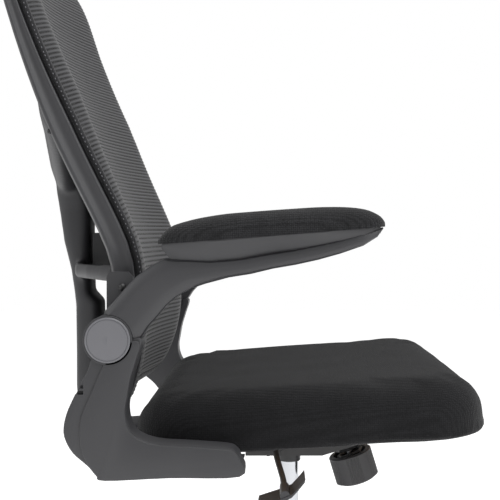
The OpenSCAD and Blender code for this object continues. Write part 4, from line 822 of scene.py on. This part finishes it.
edge_half, edge_height, edge_lift, last_row = 0.2180, 0.3185, 0.0105, 0.9985
roll_low, roll_high, roll_from, roll_over = 0.0095, 0.0230, 0.660, 0.170
side_reach, top_reach, foot_reach, rib_tall = 0.046, 0.110, 0.022, 0.0005
arc_step, arc_count = 0.002, 340
arc = [0.0]
for i in range(arc_count):
    arc.append(arc[-1] + arc_step / math.cos(rail_lean(low_z + arc_step * i)))


def rail_length(z):
    """Length along a rail from its lowest point up to a height."""
    at = max(0.0, min(arc_count - 1.1, (z - low_z) / arc_step))
    return arc[int(at)] + (arc[int(at) + 1] - arc[int(at)]) * (at - int(at))


def rolled(distance, over):
    """Share of the roll that the mesh has at a distance from its edge."""
    return 1 - (1 - max(0.0, min(1, distance / over))) ** 3


bm = bmesh.new()
bmesh.ops.create_grid(bm, x_segments=56, y_segments=740, size=1)
uv = bm.loops.layers.uv.new("knit")
for v in bm.verts:
    t = v.co.y * last_row
    wide = edge_half * (1 - abs(t) ** corner_power) ** (1 / corner_power)
    z = middle_z + edge_height * t
    v.co = (math.copysign(wide * (1 - (1 - abs(v.co.x)) ** 1.6), v.co.x), 0, z)
for face in bm.faces:
    for corner in face.loops:
        corner[uv].uv = (corner.vert.co.x, rail_length(corner.vert.co.z))
for v in bm.verts:
    x, z = v.co.x, v.co.z
    lean = rail_lean(z)
    t = abs((z - middle_z) / edge_height)
    wide = edge_half * max(0.001, 1 - t ** corner_power) ** (1 / corner_power)
    roll = roll_low + (roll_high - roll_low) * max(0, min(1, (z - roll_from) / roll_over))
    from_top, from_foot = edge_height - (z - middle_z), edge_height + (z - middle_z)
    end = rolled(from_top, top_reach) if z > middle_z else rolled(from_foot, foot_reach)
    shape = rolled(wide - abs(x), side_reach) * end
    inward = 1 - (x / back_half) ** 2
    sunk = back_bow * inward + roll * 0.5 * inward ** 2
    ribs = rib_tall * math.cos(2 * math.pi * rail_length(z) / rib_pitch)
    lift = rail_half(z) + edge_lift + (roll + ribs) * shape
    v.co = (x, rail_line(z) - lift * math.cos(lean) + sunk, z + lift * math.sin(lean))
mesh_sheet = piece("back_mesh_cloth", bm, "seat", mesh_cloth)
thick = mesh_sheet.modifiers.new("thick", "SOLIDIFY")
thick.thickness = 0.0009
thick.offset = 0
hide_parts("back_mesh")

# Back support: one moulding that runs from under the seat up behind the back, forks into two
# branches that run out to the rails, and has a bowed bar at the waist. Voxels join its parts.
# Stations of the spine in millimetres: behind the axis, height, half width, half thickness.
spine_stations = [
    (107, 398.9, 48, 4.9), (159, 395.4, 48, 4.9), (202, 392.6, 44.8, 4.9), (240, 389.3, 36.8, 7.1),
    (268.8, 398, 32, 11.6), (284.7, 417, 32, 15.8), (289, 447.8, 32, 17), (288.5, 498, 30.4, 17.8),
    (288.5, 541.7, 30.4, 18.5), (289, 568, 30.4, 18.5), (296.5, 583, 30.4, 12), (299.5, 618, 29.6, 14.5),
    (305, 658, 28.6, 19.5), (308, 702, 28, 23), (312, 735, 31, 24), (320, 762, 33, 17),
]
# Stations of a branch, and of half of the bowed bar: outward, behind the axis, height, half
# height, half thickness
branch_stations = [
    (0, 321, 744, 29, 18), (45, 319, 760, 25, 15.5), (95, 312.5, 779, 22, 14), (145, 305, 799, 20, 13.5),
    (185, 300.5, 817, 18, 13.5), (208, 299, 833, 14, 12.5), (216, 300, 846, 7, 7),
]
cross_stations = [
    (20, 296, 618, 12, 7), (60, 293, 618.5, 11, 6), (110, 281, 619, 10, 5.5), (160, 257, 620, 10, 5.5),
    (196, 232, 620, 10.5, 5.5), (214, 217, 620, 11, 5.5),
]


def heading(stations, i):
    """The way that a row of stations runs at one of them."""
    return (stations[min(len(stations) - 1, i + 1)] - stations[max(0, i - 1)]).normalized()


bm = bmesh.new()
across = Vector((1, 0, 0))
middles = [Vector((0, y, z)) / 1000 for y, z, half, thick_half in spine_stations]
rings = []
for i, (y, z, half, thick_half) in enumerate(spine_stations):
    face_way = heading(middles, i).cross(across)
    rings.append(round_ring(middles[i], across, face_way, half / 1000, thick_half / 1000, power=4))
loft(bm, rings)
for stations, behind in ((branch_stations, Vector((0, 1, -0.42))), (cross_stations, Vector((0, 1, 0)))):
    for side in (-1, 1):
        middles = [Vector((side * x, y, z)) / 1000 for x, y, z, half, thick_half in stations]
        rings = []
        for i, (x, y, z, half, thick_half) in enumerate(stations):
            along = heading(middles, i)
            rear = (behind - along * behind.dot(along)).normalized()
            rings.append(round_ring(middles[i], rear.cross(along), rear, half / 1000, thick_half / 1000,
                                    power=2.8))
        loft(bm, rings)
support = piece("back_support_moulding", bm, "seat", dark_plastic)
join = support.modifiers.new("join", "REMESH")
join.mode = "VOXEL"
join.voxel_size = 0.0032
join.use_smooth_shade = True
ease = support.modifiers.new("ease", "SMOOTH")
ease.factor = 0.6
ease.iterations = 5
applied(support)
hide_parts("back_support")
